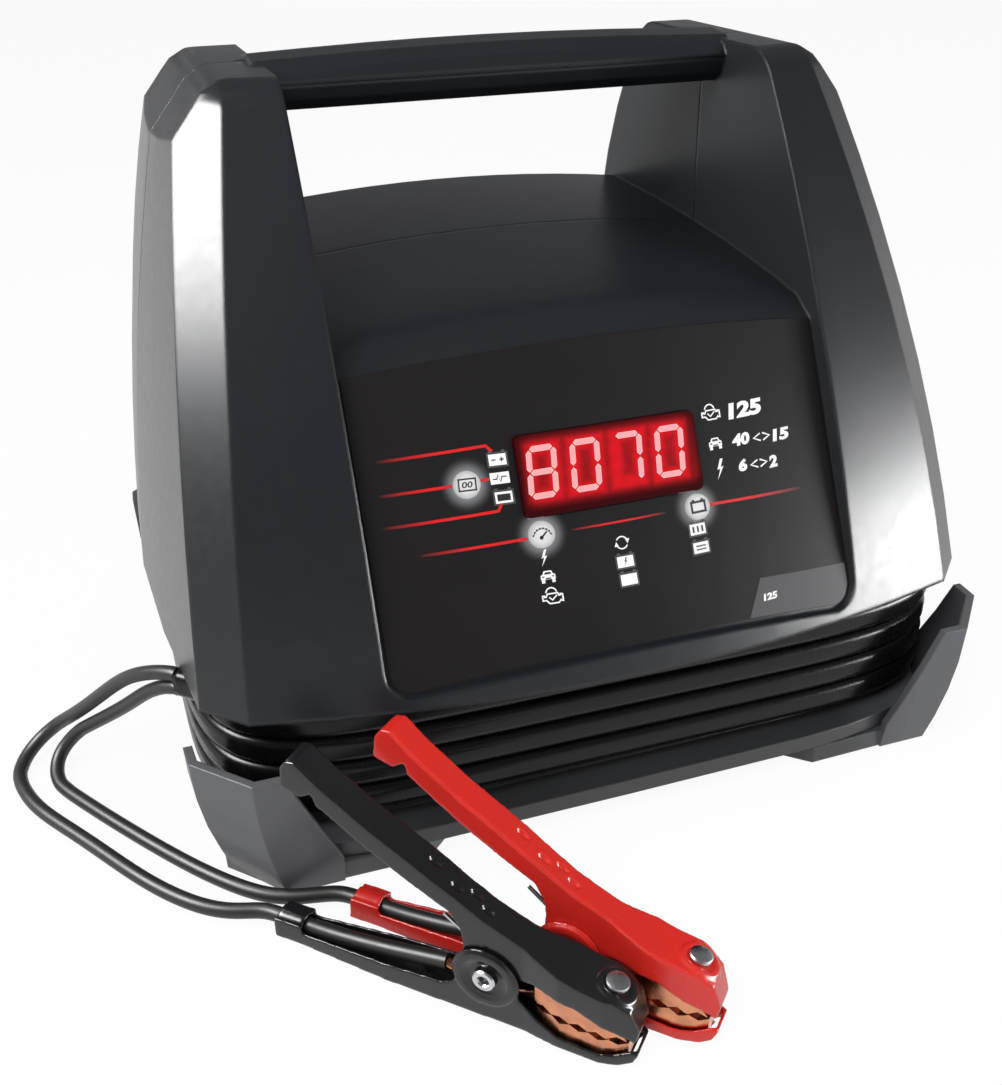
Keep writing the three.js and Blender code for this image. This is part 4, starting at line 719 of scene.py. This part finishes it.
def make_free_lead(colour, twin):
    """One core's own lead, from the end of the wound lead to the clamp's jaw."""
    end, before = twin[-1], twin[-2]
    leaving = (end - before).normalized()
    level = Vector((-leaving.y, leaving.x, 0)).normalized()
    up = leaving.cross(level)
    side = 1 if colour == "black" else -1
    start = end + leaving * FIT + up * (side * (LEAD_DIAMETER + FIT) / 2)
    place = clamp_matrix(colour)
    inside = [place @ Vector((u, v, LEAD_AXIS_W + w)) for u, v, w in IN_CLAMP]
    points = [start, start + leaving * 5, *[Vector(p) for p in ROUTES[colour]], *inside]
    fine = centripetal(points, ROUTE_STEPS)
    path = [p * MM for p in eased_route(fine, ROUTE_STEPS * (len(IN_CLAMP) - 2))]
    made = round_wire(f"{colour}_free_lead", path, LEAD_DIAMETER / 2, "lead_jacket", 6)
    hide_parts(f"{colour}_lead")
    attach(made, CASE)


twin_path = make_wound_lead()
for lead_colour in CLAMPS:
    make_free_lead(lead_colour, twin_path)

# ---- print on the panel
INK = 0.10  # height of the print over the film


class Print:
    """Flat shapes of one ink, gathered into one thin closed slab per shape."""

    def __init__(self, place, low, high):
        self.place, self.low, self.high = place, low, high
        self.verts, self.faces, self.fades = [], [], []

    def slab(self, outline, fade=None):
        """A closed slab over a simple outline of (x, s) points."""
        count = len(outline)
        start = len(self.verts)
        flat = [Vector((x, s, 0)) for x, s in outline]
        for out in (self.high, self.low):
            self.verts += [self.place(x, s, out) for x, s in outline]
        self.fades += list(fade or [1.0] * count) * 2
        for a, b, c in tessellate_polygon([flat]):
            self.faces.append((start + a, start + b, start + c))
            self.faces.append((start + count + a, start + count + c, start + count + b))
        for i in range(count):
            a, b = start + i, start + (i + 1) % count
            self.faces.append((a, b, b + count, a + count))

    def stroke(self, points, width, fades=None, closed=False):
        """A line of even width along points, with mitred corners."""
        left, right = [], []
        count = len(points)
        for i, (x, s) in enumerate(points):
            before = points[i - 1] if i or closed else None
            after = points[(i + 1) % count] if i + 1 < count or closed else None
            steps = []
            for a, b in ((before, (x, s)), ((x, s), after)):
                if a and b:
                    run = math.hypot(b[0] - a[0], b[1] - a[1]) or 1
                    steps.append((-(b[1] - a[1]) / run, (b[0] - a[0]) / run))
            nx = sum(n[0] for n in steps) / len(steps)
            ns = sum(n[1] for n in steps) / len(steps)
            size = max(nx * nx + ns * ns, 0.3)
            left.append((x + nx / size * width / 2, s + ns / size * width / 2))
            right.append((x - nx / size * width / 2, s - ns / size * width / 2))
        fades = fades or [1.0] * count
        for i in range(count if closed else count - 1):
            j = (i + 1) % count
            quad = [right[i], right[j], left[j], left[i]]
            self.slab(quad, [fades[k] for k in (i, j, j, i)])

    def fading(self, points, width, ends):
        """A long line in short steps, fading at its first, last or both ends."""
        fine = []
        for (x0, s0), (x1, s1) in zip(points, points[1:]):
            steps = max(1, round(math.hypot(x1 - x0, s1 - s0) / 3))
            fine += [(x0 + (x1 - x0) * k / steps, s0 + (s1 - s0) * k / steps) for k in range(steps)]
        fine.append(points[-1])
        count = len(fine) - 1
        fades = []
        for i in range(count + 1):
            t = i / count
            first = min(1, t / ends[0]) if ends[0] else 1
            last = min(1, (1 - t) / ends[1]) if ends[1] else 1
            fades.append(min(first, last))
        self.stroke(fine, width, fades)

    def text(self, words, x, s, height, width, bold=0.05):
        """Plain figures centred on (x, s), drawn out to a height and width."""
        curve = bpy.data.curves.new("figures", "FONT")
        curve.body = words
        curve.size = 1.0
        curve.shear = 0.12
        curve.offset = bold
        curve.resolution_u = 3
        mesh = mesh_of(curve)
        bm = bmesh.new()
        bm.from_mesh(mesh)
        bmesh.ops.triangulate(bm, faces=bm.faces)
        xs, ys = zip(*(v.co.xy for v in bm.verts))
        tall, wide = height / (max(ys) - min(ys)), width / (max(xs) - min(xs))
        mid_x, mid_y = (max(xs) + min(xs)) / 2, (max(ys) + min(ys)) / 2
        for face in bm.faces:
            corners = [v.co for v in face.verts]
            self.slab([(x + (c.x - mid_x) * wide, s + (c.y - mid_y) * tall) for c in corners])
        bm.free()
        bpy.data.meshes.remove(mesh)

    def finish(self, name, finish, body=CASE, slot=None):
        made = new_mesh(name, self.verts, self.faces, finish, smooth=False)
        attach(made, body)
        fade = made.data.attributes.new("fade", "FLOAT", "POINT")
        fade.data.foreach_set("value", self.fades)
        face_outwards(made)


def around(x, s, shape, size=1.0):
    return [(x + a * size, s + b * size) for a, b in shape]


def rectangle(width, height, radius=0.0):
    """Outline of a rectangle about the origin, with cut corners of the given size."""
    w, h, r = width / 2, height / 2, radius
    if not r:
        return [(-w, -h), (w, -h), (w, h), (-w, h)]
    right = [(w - r, -h), (w, -h + r), (w, h - r), (w - r, h)]
    return right + [(-a, b) for a, b in reversed(right)]


def circle(radius, steps, start=0.0, sweep=360.0):
    angles = [math.radians(start + sweep * k / steps) for k in range(steps + (sweep < 360))]
    return [(radius * math.cos(a), radius * math.sin(a)) for a in angles]


BOLT = [(0.5, 3.4), (-1.1, -0.1), (0.1, 0.1), (-1.4, -3.4), (1.4, 0.8), (0.3, 0.6), (1.5, 3.4)]
CAR_BODY = [
    (-3.0, -1.0), (-2.9, 0.8), (-2.1, 1.1), (-1.5, 2.4), (1.5, 2.4), (2.1, 1.1), (2.9, 0.8),
    (3.0, -1.0),
]
CAR_WINDOW = [(-1.5, 1.05), (-1.1, 1.9), (1.1, 1.9), (1.5, 1.05)]
ENGINE = [
    (-4.0, -0.9), (-4.0, 0.9), (-3.2, 0.9), (-3.2, 0.4), (-2.6, 0.4), (-2.0, 1.5), (2.2, 1.5),
    (2.6, 0.5), (3.2, 0.5), (3.2, 1.0), (4.1, 0.8), (4.1, -1.8), (3.2, -1.6), (3.2, -1.1),
    (2.4, -2.3), (-1.4, -2.3), (-2.6, -0.9), (-3.2, -0.9),
]
ICON_COLUMNS = (-34.0, -1.2, 32.0)  # x of the icons under the display
# Each mark on a battery's label, as rectangles: x, s, width, height.
BATTERY_MARKS = {
    "poles": [(-1.6, 0, 1.7, 0.5), (1.6, 0, 1.7, 0.5), (1.6, 0, 0.5, 1.7)],
    "level": [(0, 0, 5.2, 2.6)],
    "cells": [(-2, 0, 0.8, 2.4), (0, 0, 0.8, 2.4), (2, 0, 0.8, 2.4)],
    "mat": [(0, 0.7, 4.4, 0.5), (0, -0.7, 4.4, 0.5)],
}


def draw_battery(white, grey, black, x, s, mark=None):
    """Battery outline with a white label that bears a plain mark."""
    grey.stroke(around(x, s, rectangle(7.9, 5.4)), 0.4, closed=True)
    for side in (-1, 1):
        grey.slab(around(x + side * 2.6, s + 3.2, rectangle(1.3, 0.9)))
    white.slab(around(x, s, rectangle(6.9, 4.4)))
    if mark == "bolt":
        black.slab(around(x, s, BOLT, 0.5))
    for dx, ds, width, height in BATTERY_MARKS.get(mark, []):
        black.slab(around(x + dx, s + ds, rectangle(width, height)))


def draw_car(white, black, x, s):
    white.slab(around(x, s, CAR_BODY))
    for side in (-1, 1):
        white.slab(around(x + side * 2.1, s - 1.6, rectangle(1.3, 1.4)))
        black.slab(around(x + side * 2.0, s + 0.15, rectangle(1.0, 0.5, 0.2)))
    black.slab(around(x, s, CAR_WINDOW))
    black.slab(around(x, s - 0.6, rectangle(2.2, 0.5)))


def draw_engine(white, x, s):
    white.stroke(around(x, s - 0.4, ENGINE), 0.55, closed=True)
    white.stroke(around(x - 0.3, s + 1.2, circle(2.2, 14, 10, 160)), 0.55)
    white.stroke(around(x, s - 0.5, [(-1.4, 0.3), (-0.2, -0.9), (1.8, 0.8)]), 0.5)


FILM = {"half": 100.0, "corner": 8.0, "arch": 5.5}
# Red lines: points, width, and the share of the length over which each end fades.
RED_LINES = [
    ([(-91.9, 88.4), (-49.8, 90.6), (-47.6, 88.2)], 1.15, (0.45, 0)),
    ([(-92.7, 75.4), (-65.0, 76.7)], 1.15, (0.6, 0)),
    ([(-53.7, 77.6), (-50.3, 77.8)], 1.15, (0, 0)),
    ([(-93.4, 63.2), (-48.8, 65.2), (-47.2, 67.6)], 1.15, (0.45, 0)),
    ([(-81.3, 51.6), (-39.2, 53.2)], 1.15, (0.5, 0)),
    ([(39.0, 53.9), (83.0, 51.9)], 1.15, (0, 0.6)),
    ([(-21.3, 54.0), (19.2, 54.3)], 0.8, (0.35, 0.35)),
]
WAVE = [(-2.8, -0.3), (-1.2, -0.3), (-0.7, 1.3), (0.2, -1.4), (0.9, 0.5), (2.8, 0.4)]
# Plain figures: words, x, s, height, width.
FIGURES = [
    ("125", 61.9, 89.0, 6.6, 16.4),
    ("40", 57.9, 77.1, 5.0, 8.4),
    ("15", 77.3, 75.6, 5.0, 8.4),
    ("6", 57.0, 66.6, 5.0, 4.1),
    ("2", 71.6, 65.4, 5.0, 4.1),
]
FIGURE_GAPS = [(67.9, 76.3), (64.8, 65.9)]  # the pairs of arrowheads between figures
# The grey tab: x of its left end below and above, its top at x = 55, and that edge's fall.
TAB = {"low_left": 49.5, "top_left": 57.0, "top": 20.0, "top_x": 55, "fall": 0.085}
TAB_INSET, TAB_LIFT = 0.3, 0.4
TAB_STRIPS = 24


def film_low(x):
    """The film's lower edge at x, as a distance up the slope."""
    reach = FILM["half"] - FILM["corner"]
    if abs(x) <= reach:
        return SLOPE_LENGTH * FILM["arch"] * (1 - (x / reach) ** 2)
    inside = FILM["corner"] ** 2 - (abs(x) - reach) ** 2
    return SLOPE_LENGTH * (FILM["corner"] - math.sqrt(max(inside, 0)))


def draw_left_icons(white, grey, black):
    draw_battery(white, grey, black, -46.0, 84.8, "poles")
    white.slab(around(-46.2, 77.7, rectangle(7.6, 4.4)))
    black.stroke(around(-46.2, 77.7, WAVE), 0.45)
    draw_battery(white, grey, black, -45.8, 70.2, "level")


def draw_low_icons(white, grey, black):
    """The three columns of icons under the display."""
    left, middle, right = ICON_COLUMNS
    white.slab(around(left, 44.9, BOLT, 0.95))
    draw_car(white, black, left + 0.4, 37.4)
    draw_engine(white, left + 0.9, 29.7)
    arrowhead = [(-0.9, 0.9), (0.9, 0.9), (0, -1.0)]
    for start, flip in ((20, 1), (200, -1)):
        white.stroke(around(middle - 0.3, 45.8, circle(2.4, 12, start, 130)), 0.5)
        end = (middle - 0.3 + 2.4 * flip, 45.8 + 0.4 * flip)
        white.slab(around(*end, [(a, b * flip) for a, b in arrowhead]))
    draw_battery(white, grey, black, middle, 38.2, "bolt")
    draw_battery(white, grey, black, middle + 0.4, 31.0)
    draw_battery(white, grey, black, right, 45.2, "cells")
    draw_battery(white, grey, black, right + 0.3, 37.7, "mat")


def draw_ratings(white, black):
    """Icons and plain figures at the display's right."""
    draw_engine(white, 45.8, 90.0)
    draw_car(white, black, 45.9, 77.4)
    white.slab(around(46.3, 67.0, BOLT, 1.2))
    for figure in FIGURES:
        white.text(*figure)
    for x, s in FIGURE_GAPS:
        for flip in (-1, 1):
            arm = [(flip * 0.6, 1.5), (flip * 3.9, 0), (flip * 0.6, -1.5)]
            white.stroke(around(x, s, arm), 0.65)


def draw_tab(grey):
    """Grey field in the film's lower right corner, in strips that follow its edge."""
    edge = FILM["half"] - TAB_INSET
    ends = []
    for k in range(TAB_STRIPS + 1):
        t = k / TAB_STRIPS
        x = TAB["low_left"] + (edge - TAB["low_left"]) * t
        top_x = TAB["top_left"] + (edge - TAB["top_left"]) * t
        top = TAB["top"] - TAB["fall"] * (top_x - TAB["top_x"])
        ends.append(((x, film_low(x) + TAB_LIFT), (top_x, top)))
    for (low0, top0), (low1, top1) in zip(ends, ends[1:]):
        grey.slab([low0, low1, top1, top0])


def draw_panel():
    white, grey, red = (Print(on_panel, 0.01, INK) for _ in range(3))
    black, tab_ink = (Print(on_panel, INK + 0.01, INK + 0.06) for _ in range(2))
    for line in RED_LINES:
        red.fading(*line)
    draw_left_icons(white, grey, black)
    draw_low_icons(white, grey, black)
    draw_ratings(white, black)
    draw_tab(grey)
    tab_ink.text("125", 60.5, 11.6, 3.0, 6.8)
    white.finish("panel_print_white", "ink_white", slot="button_white")
    grey.finish("panel_print_grey", "ink_grey", slot="base_plastic")
    red.finish("panel_print_red", "ink_red", slot="red_vinyl")
    black.finish("panel_print_black", "ink_black", slot="panel_film")
    tab_ink.finish("panel_tab_figures", "ink_white", slot="button_white")


DIGITS = {"8": "abcdefg", "0": "abcdef", "7": "abc"}
SEGMENT_THICK = 2.3


def segment(kind):
    """Bevel-ended bar of one digit segment, as an outline about the digit's middle."""
    half, rise, t = CELL["half"], CELL["rise"], SEGMENT_THICK / 2
    gap = 0.35
    level = {"a": rise, "g": 0.0, "d": -rise}
    if kind in level:
        y, w = level[kind], half - gap
        return [(-w, y), (-w + t, y - t), (w - t, y - t), (w, y), (w - t, y + t), (-w + t, y + t)]
    x = half if kind in "bc" else -half
    y0, y1 = (gap, rise - gap) if kind in "bf" else (-rise + gap, -gap)
    return [(x, y0), (x + t, y0 + t), (x + t, y1 - t), (x, y1), (x - t, y1 - t), (x - t, y0 + t)]


def draw_digits():
    flat = on_flat((LENS["x"], LENS["s"]))
    face = LENS["proud"]
    edge = Print(flat, face + 0.01, face + 0.06)
    core = Print(flat, face + 0.07, face + 0.11)
    for k, digit in enumerate("8070"):
        x = CELL["first"] + k * CELL["pitch"] - LENS["x"]
        s = CELL["middle"] - LENS["s"]
        for kind in DIGITS[digit]:
            bar = segment(kind)
            mid = (sum(p[0] for p in bar) / 6, sum(p[1] for p in bar) / 6)
            small = [(mid[0] + (a - mid[0]) * 0.90, mid[1] + (b - mid[1]) * 0.90) for a, b in bar]
            for target, outline in ((edge, bar), (core, small)):
                sheared = [(x + a + CELL["slant"] * b, s + b) for a, b in outline]
                target.slab(sheared)
    edge.finish("display_segments", "segment_edge", slot="display_lens")
    core.finish("display_segment_cores", "segment_core", slot="display_lens")


def draw_caps():
    """Plain pictograms on the lit caps: a digit window, a gauge and a battery."""
    for name, site in BUTTONS.items():
        dark = Print(on_flat(site), BUTTON_PROUD + 0.01, BUTTON_PROUD + 0.06)
        if name == "button_display":
            dark.stroke(rectangle(6.6, 4.4), 0.6, closed=True)
            dark.text("00", 0, 0, 2.4, 4.2, bold=0.02)
        if name == "button_rate":
            dark.stroke(around(0, -1.4, circle(3.6, 16, 15, 150)), 0.28)
            for angle in range(20, 161, 20):
                a = math.radians(angle)
                tick = [(r * math.cos(a), r * math.sin(a) - 1.4) for r in (3.5, 4.1)]
                dark.stroke(tick, 0.75)
            dark.stroke([(-0.4, -1.2), (2.0, 1.0)], 0.7)
            dark.slab(around(-0.4, -1.2, circle(0.8, 12)))
        if name == "button_type":
            dark.stroke(rectangle(6.0, 4.0), 0.95, closed=True)
            for side in (-1, 1):
                dark.slab(around(side * 2.0, 2.6, rectangle(1.3, 0.9)))
        dark.finish(f"{name}_symbol", "ink_black", body=name, slot="black_plastic")


draw_panel()
draw_digits()
draw_caps()

# ---- clamps
PIVOT = (90.0, 19.0)
RIVET_AT = (136.0, 0.0, 30.3)
RIVET_TILT = math.radians(10)
SPRING = {"radius": 6.2, "wire": 1.6, "curls": 3, "pitch": 2.2, "upper": 53, "lower": 288}
SPRING_LEGS = {"upper": 26.0, "lower": 33.6}
DIMPLES = [(68.2, 1.2), (77.7, -1.4), (83.8, 1.4), (89.2, -1.0)]
VOXEL = 0.0005  # metres, of the remeshed vinyl
RELAX_ROUNDS = 16
KEPT_FACES = 0.6
RIVET_DOME = [
    (2.4, -0.5), (2.4, 0), (4.2, 0.1), (4.2, 0.9), (3.9, 1.4), (3.0, 1.8), (1.6, 2.0), (0.1, 2.0),
]
WIRE_END = [
    (70, 0, 11.9), (78, 0, 9.4), (86, 0, 8.0), (95, 0, 7.8), (104, 0, 10.2), (112, 0, 12),
    (117, 0, 12.4),
]
WIRE_END_RADIUS = 2.0
LATHE_STEPS = 40


def smooth_step(edge, inner, value):
    t = max(0.0, min(1.0, (value - edge) / (inner - edge)))
    return t * t * (3 - 2 * t)


def vinyl_copy(node, name, sculpt, place, finish):
    """A dipped-vinyl skin over a stamped clamp half: remeshed, softened, then embossed."""
    source = frame["nodes"][node]
    bare = put("bare", source.data.copy())
    remesh = bare.modifiers.new("remesh", "REMESH")
    remesh.mode = "VOXEL"
    remesh.voxel_size = VOXEL
    relax = bare.modifiers.new("relax", "SMOOTH")
    relax.factor = 0.5
    relax.iterations = RELAX_ROUNDS
    graph = bpy.context.evaluated_depsgraph_get()
    mesh = bpy.data.meshes.new_from_object(bare.evaluated_get(graph))
    bpy.data.objects.remove(bare)
    inverse = place.inverted()
    scale = 1 / MM
    for vertex, normal in zip(mesh.vertices, [n.vector.copy() for n in mesh.vertex_normals]):
        u, v, w = inverse @ (vertex.co * scale)
        facing = inverse.to_3x3() @ normal
        push = sculpt(u, v, w, facing)
        if push:
            vertex.co += normal * (push * MM)
    made = put(name, finished(mesh, finish))
    made.modifiers.new("thin", "DECIMATE").ratio = KEPT_FACES
    return made


def emboss_lower(u, v, w, facing):
    """Raised ring and inner dish round the pivot, on both cheeks."""
    if abs(facing[1]) < 0.7 or abs(v) < 6.6:
        return 0
    away = math.hypot(u - PIVOT[0], w - PIVOT[1])
    rim = smooth_step(12.4, 11.4, away) * smooth_step(7.6, 9.4, away) * 0.7
    dish = smooth_step(7.6, 6.2, away) * -0.7
    return rim + dish


def emboss_upper(u, v, w, facing):
    """Grip dimples along the web, and the raised seat round the jaw's rivet."""
    push = 0
    if facing[2] > 0.35:
        for at, side in DIMPLES:
            along = (u - at) / 2.9
            across = (v - side) / 1.7
            push -= 1.1 * smooth_step(1.0, 0.35, math.hypot(along, across))
        away = math.hypot(u - RIVET_AT[0], v - RIVET_AT[1])
        push += 0.7 * smooth_step(7.8, 6.2, away) * smooth_step(4.2, 5.2, away)
    return push


def lathe(name, profile, place, finish):
    """A turned piece: (radius, height) profile about the z axis of a placing matrix."""
    steps = LATHE_STEPS
    verts = []
    for radius, height in profile:
        for k in range(steps):
            a = 2 * math.pi * k / steps
            point = Vector((radius * math.cos(a), radius * math.sin(a), height))
            verts.append((place @ point) * MM)
    faces = [(a, b, b + steps, a + steps) for a, b in ring_pairs(len(profile), steps)]
    faces.append(tuple(reversed(range(steps))))
    faces.append(tuple(range((len(profile) - 1) * steps, len(profile) * steps)))
    made = new_mesh(name, verts, faces, finish)
    soften(made)
    return made


def spring_path(place):
    """The torsion spring's legs and curls, finer than the solid's."""
    radius = SPRING["radius"]
    start = math.radians(SPRING["upper"])
    sweep = math.radians(SPRING["curls"] * 360 + SPRING["upper"] - SPRING["lower"])
    width = SPRING["curls"] * SPRING["pitch"]
    steps = SPRING["curls"] * 30
    points = []
    for i in range(steps + 1):
        angle = start - sweep * i / steps
        u = PIVOT[0] + radius * math.cos(angle)
        w = PIVOT[1] + radius * math.sin(angle)
        points.append(Vector((u, -width / 2 + width * i / steps, w)))
    end = start - sweep
    upper = Vector((-math.sin(start), 0, math.cos(start)))
    lower = Vector((math.sin(end), 0, -math.cos(end)))
    points.insert(0, points[0] + upper * SPRING_LEGS["upper"])
    points.append(points[-1] + lower * SPRING_LEGS["lower"])
    return [(place @ p) * MM for p in points]


def dress_halves(colour, place):
    arm = f"{colour}_clamp_arm"
    vinyl = f"{colour}_vinyl"
    halves = (("lower", CASE, emboss_lower), ("upper", arm, emboss_upper))
    for half, body, sculpt in halves:
        node = f"{colour}_clamp_{half}"
        made = vinyl_copy(node, f"{colour}_vinyl_{half}", sculpt, place, vinyl)
        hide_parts(node)
        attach(made, body)


def dress_spring(colour, place):
    """The torsion spring between the lower half and the arm."""
    path = spring_path(place)
    spring = round_wire(f"{colour}_torsion_spring", path, SPRING["wire"] / 2, "zinc_steel")
    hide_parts(f"{colour}_clamp_spring")
    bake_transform(spring)


def dress_pivot(colour, place):
    """A turned eyelet over each end of the pivot."""
    seat = CLAMP_LOWER_HALF + FIT
    rim = seat + 1.2
    eyelet = [
        (1.9, seat - 4), (3.0, seat - 4), (3.0, seat), (4.3, seat + 0.05), (4.4, seat + 0.45),
        (4.0, rim - 0.15), (3.2, rim), (2.5, rim - 0.15), (2.0, seat + 0.3), (1.9, seat - 3.8),
    ]
    for side, label in ((-1, "near"), (1, "far")):
        turn = place @ Matrix.Translation((PIVOT[0], 0, PIVOT[1]))
        turn = turn @ Matrix.Rotation(-side * math.pi / 2, 4, "X")
        made = lathe(f"{colour}_eyelet_{label}", eyelet, turn, "zinc_steel")
        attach(made, CASE)
        if label == "near":
            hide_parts(f"{colour}_clamp_pivot")


def dress_rivet(colour, place):
    arm = f"{colour}_clamp_arm"
    seat = place @ Matrix.Translation(RIVET_AT) @ Matrix.Rotation(RIVET_TILT, 4, "Y")
    made = lathe(f"{colour}_jaw_rivet_head", RIVET_DOME, seat, "zinc_steel")
    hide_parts(f"{colour}_jaw_rivet")
    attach(made, arm)


def add_wire_end(colour, place):
    """The lead's bare end, from its jacket to the jaw."""
    line = centripetal([place @ Vector(p) for p in WIRE_END], 6)
    made = round_wire(f"{colour}_wire_end", [p * MM for p in line], WIRE_END_RADIUS, "copper")
    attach(made, CASE)


for clamp_colour in CLAMPS:
    clamp_place = clamp_matrix(clamp_colour)
    for dress in (dress_halves, dress_spring, dress_pivot, dress_rivet, add_wire_end):
        dress(clamp_colour, clamp_place)

# ---- studio
FLOOR_HALF = 6.0  # metres, like the lamps' places and sizes
FLOOR_WHITE = 0.94
# How high one looks, and the room's colour there.
ROOM = [(0.0, (0.5, 0.5, 0.51)), (0.3, (0.17, 0.17, 0.1734))]


def make_floor():
    """White paper: mostly its own light where it is seen, plain paper where it lights."""
    made = new_mesh(
        "studio_floor",
        [(x * FLOOR_HALF, y * FLOOR_HALF, 0) for x, y in ((-1, -1), (1, -1), (1, 1), (-1, 1))],
        [(0, 1, 2, 3)],
        "case_plastic",
        smooth=False,
    )
    paper = Shader("studio_paper", (0.8, 0.8, 0.8), 0.9)
    path = paper.node("LightPath")
    seen = path.outputs["Is Camera Ray"]
    for kind in ("Is Glossy Ray", "Is Transmission Ray"):
        seen = paper.maths("MAXIMUM", seen, path.outputs[kind])
    white = paper.node("Emission", Color=(1, 1, 1, 1), Strength=1.0)
    mix = paper.node("MixShader")
    paper.link(paper.maths("MULTIPLY", seen, FLOOR_WHITE), mix.inputs["Fac"])
    paper.link(paper.main.outputs["BSDF"], mix.inputs[1])
    paper.link(white.outputs["Emission"], mix.inputs[2])
    paper.link(mix.outputs["Shader"], paper.tree.nodes["Material Output"].inputs["Surface"])
    made.data.materials[0] = paper.material


def make_world():
    """A pale room: bright at the horizon, dimmer overhead."""
    world = bpy.data.worlds.new("studio")
    bpy.context.scene.world = world
    world.use_nodes = True
    room = Nodes(world.node_tree)
    shade = room.ramp(room.parts(room.node("TexCoord").outputs["Generated"])["Z"], ROOM)
    shade.node.color_ramp.interpolation = "EASE"
    room.link(shade, room.tree.nodes["Background"].inputs["Color"])


def add_softbox(name, at, aim, size, power, kind):
    """A soft lamp: a card only shows in reflections, and a fill only lights."""
    data = bpy.data.lights.new(name, "AREA")
    data.shape = "RECTANGLE"
    data.size, data.size_y = size
    data.energy = power
    made = put(name, data)
    made.location = at
    made.visible_diffuse = kind != "card"
    made.visible_glossy = kind != "fill"
    direction = Vector(aim) - Vector(at)
    made.rotation_euler = direction.to_track_quat("-Z", "Y").to_euler()


make_floor()
make_world()
add_softbox("key_box", (-0.9, -0.75, 1.3), (0, 0, 0.12), (0.9, 0.9), 20, "fill")
add_softbox("fill_box", (0.9, -0.9, 1.2), (0, 0, 0.1), (0.8, 0.8), 10, "fill")
add_softbox("top_box", (-0.1, 0.1, 1.5), (0, 0, 0.1), (1.2, 0.8), 8, "fill")
add_softbox("left_card", (-1.06, 0.06, 0.92), (-0.16, -0.08, 0.22), (0.55, 0.62), 40, "card")
add_softbox("right_card", (1.15, -0.7, 0.09), (0.12, -0.1, 0.1), (0.7, 0.30), 28, "card")

bpy.context.scene.view_settings.view_transform = "Standard"
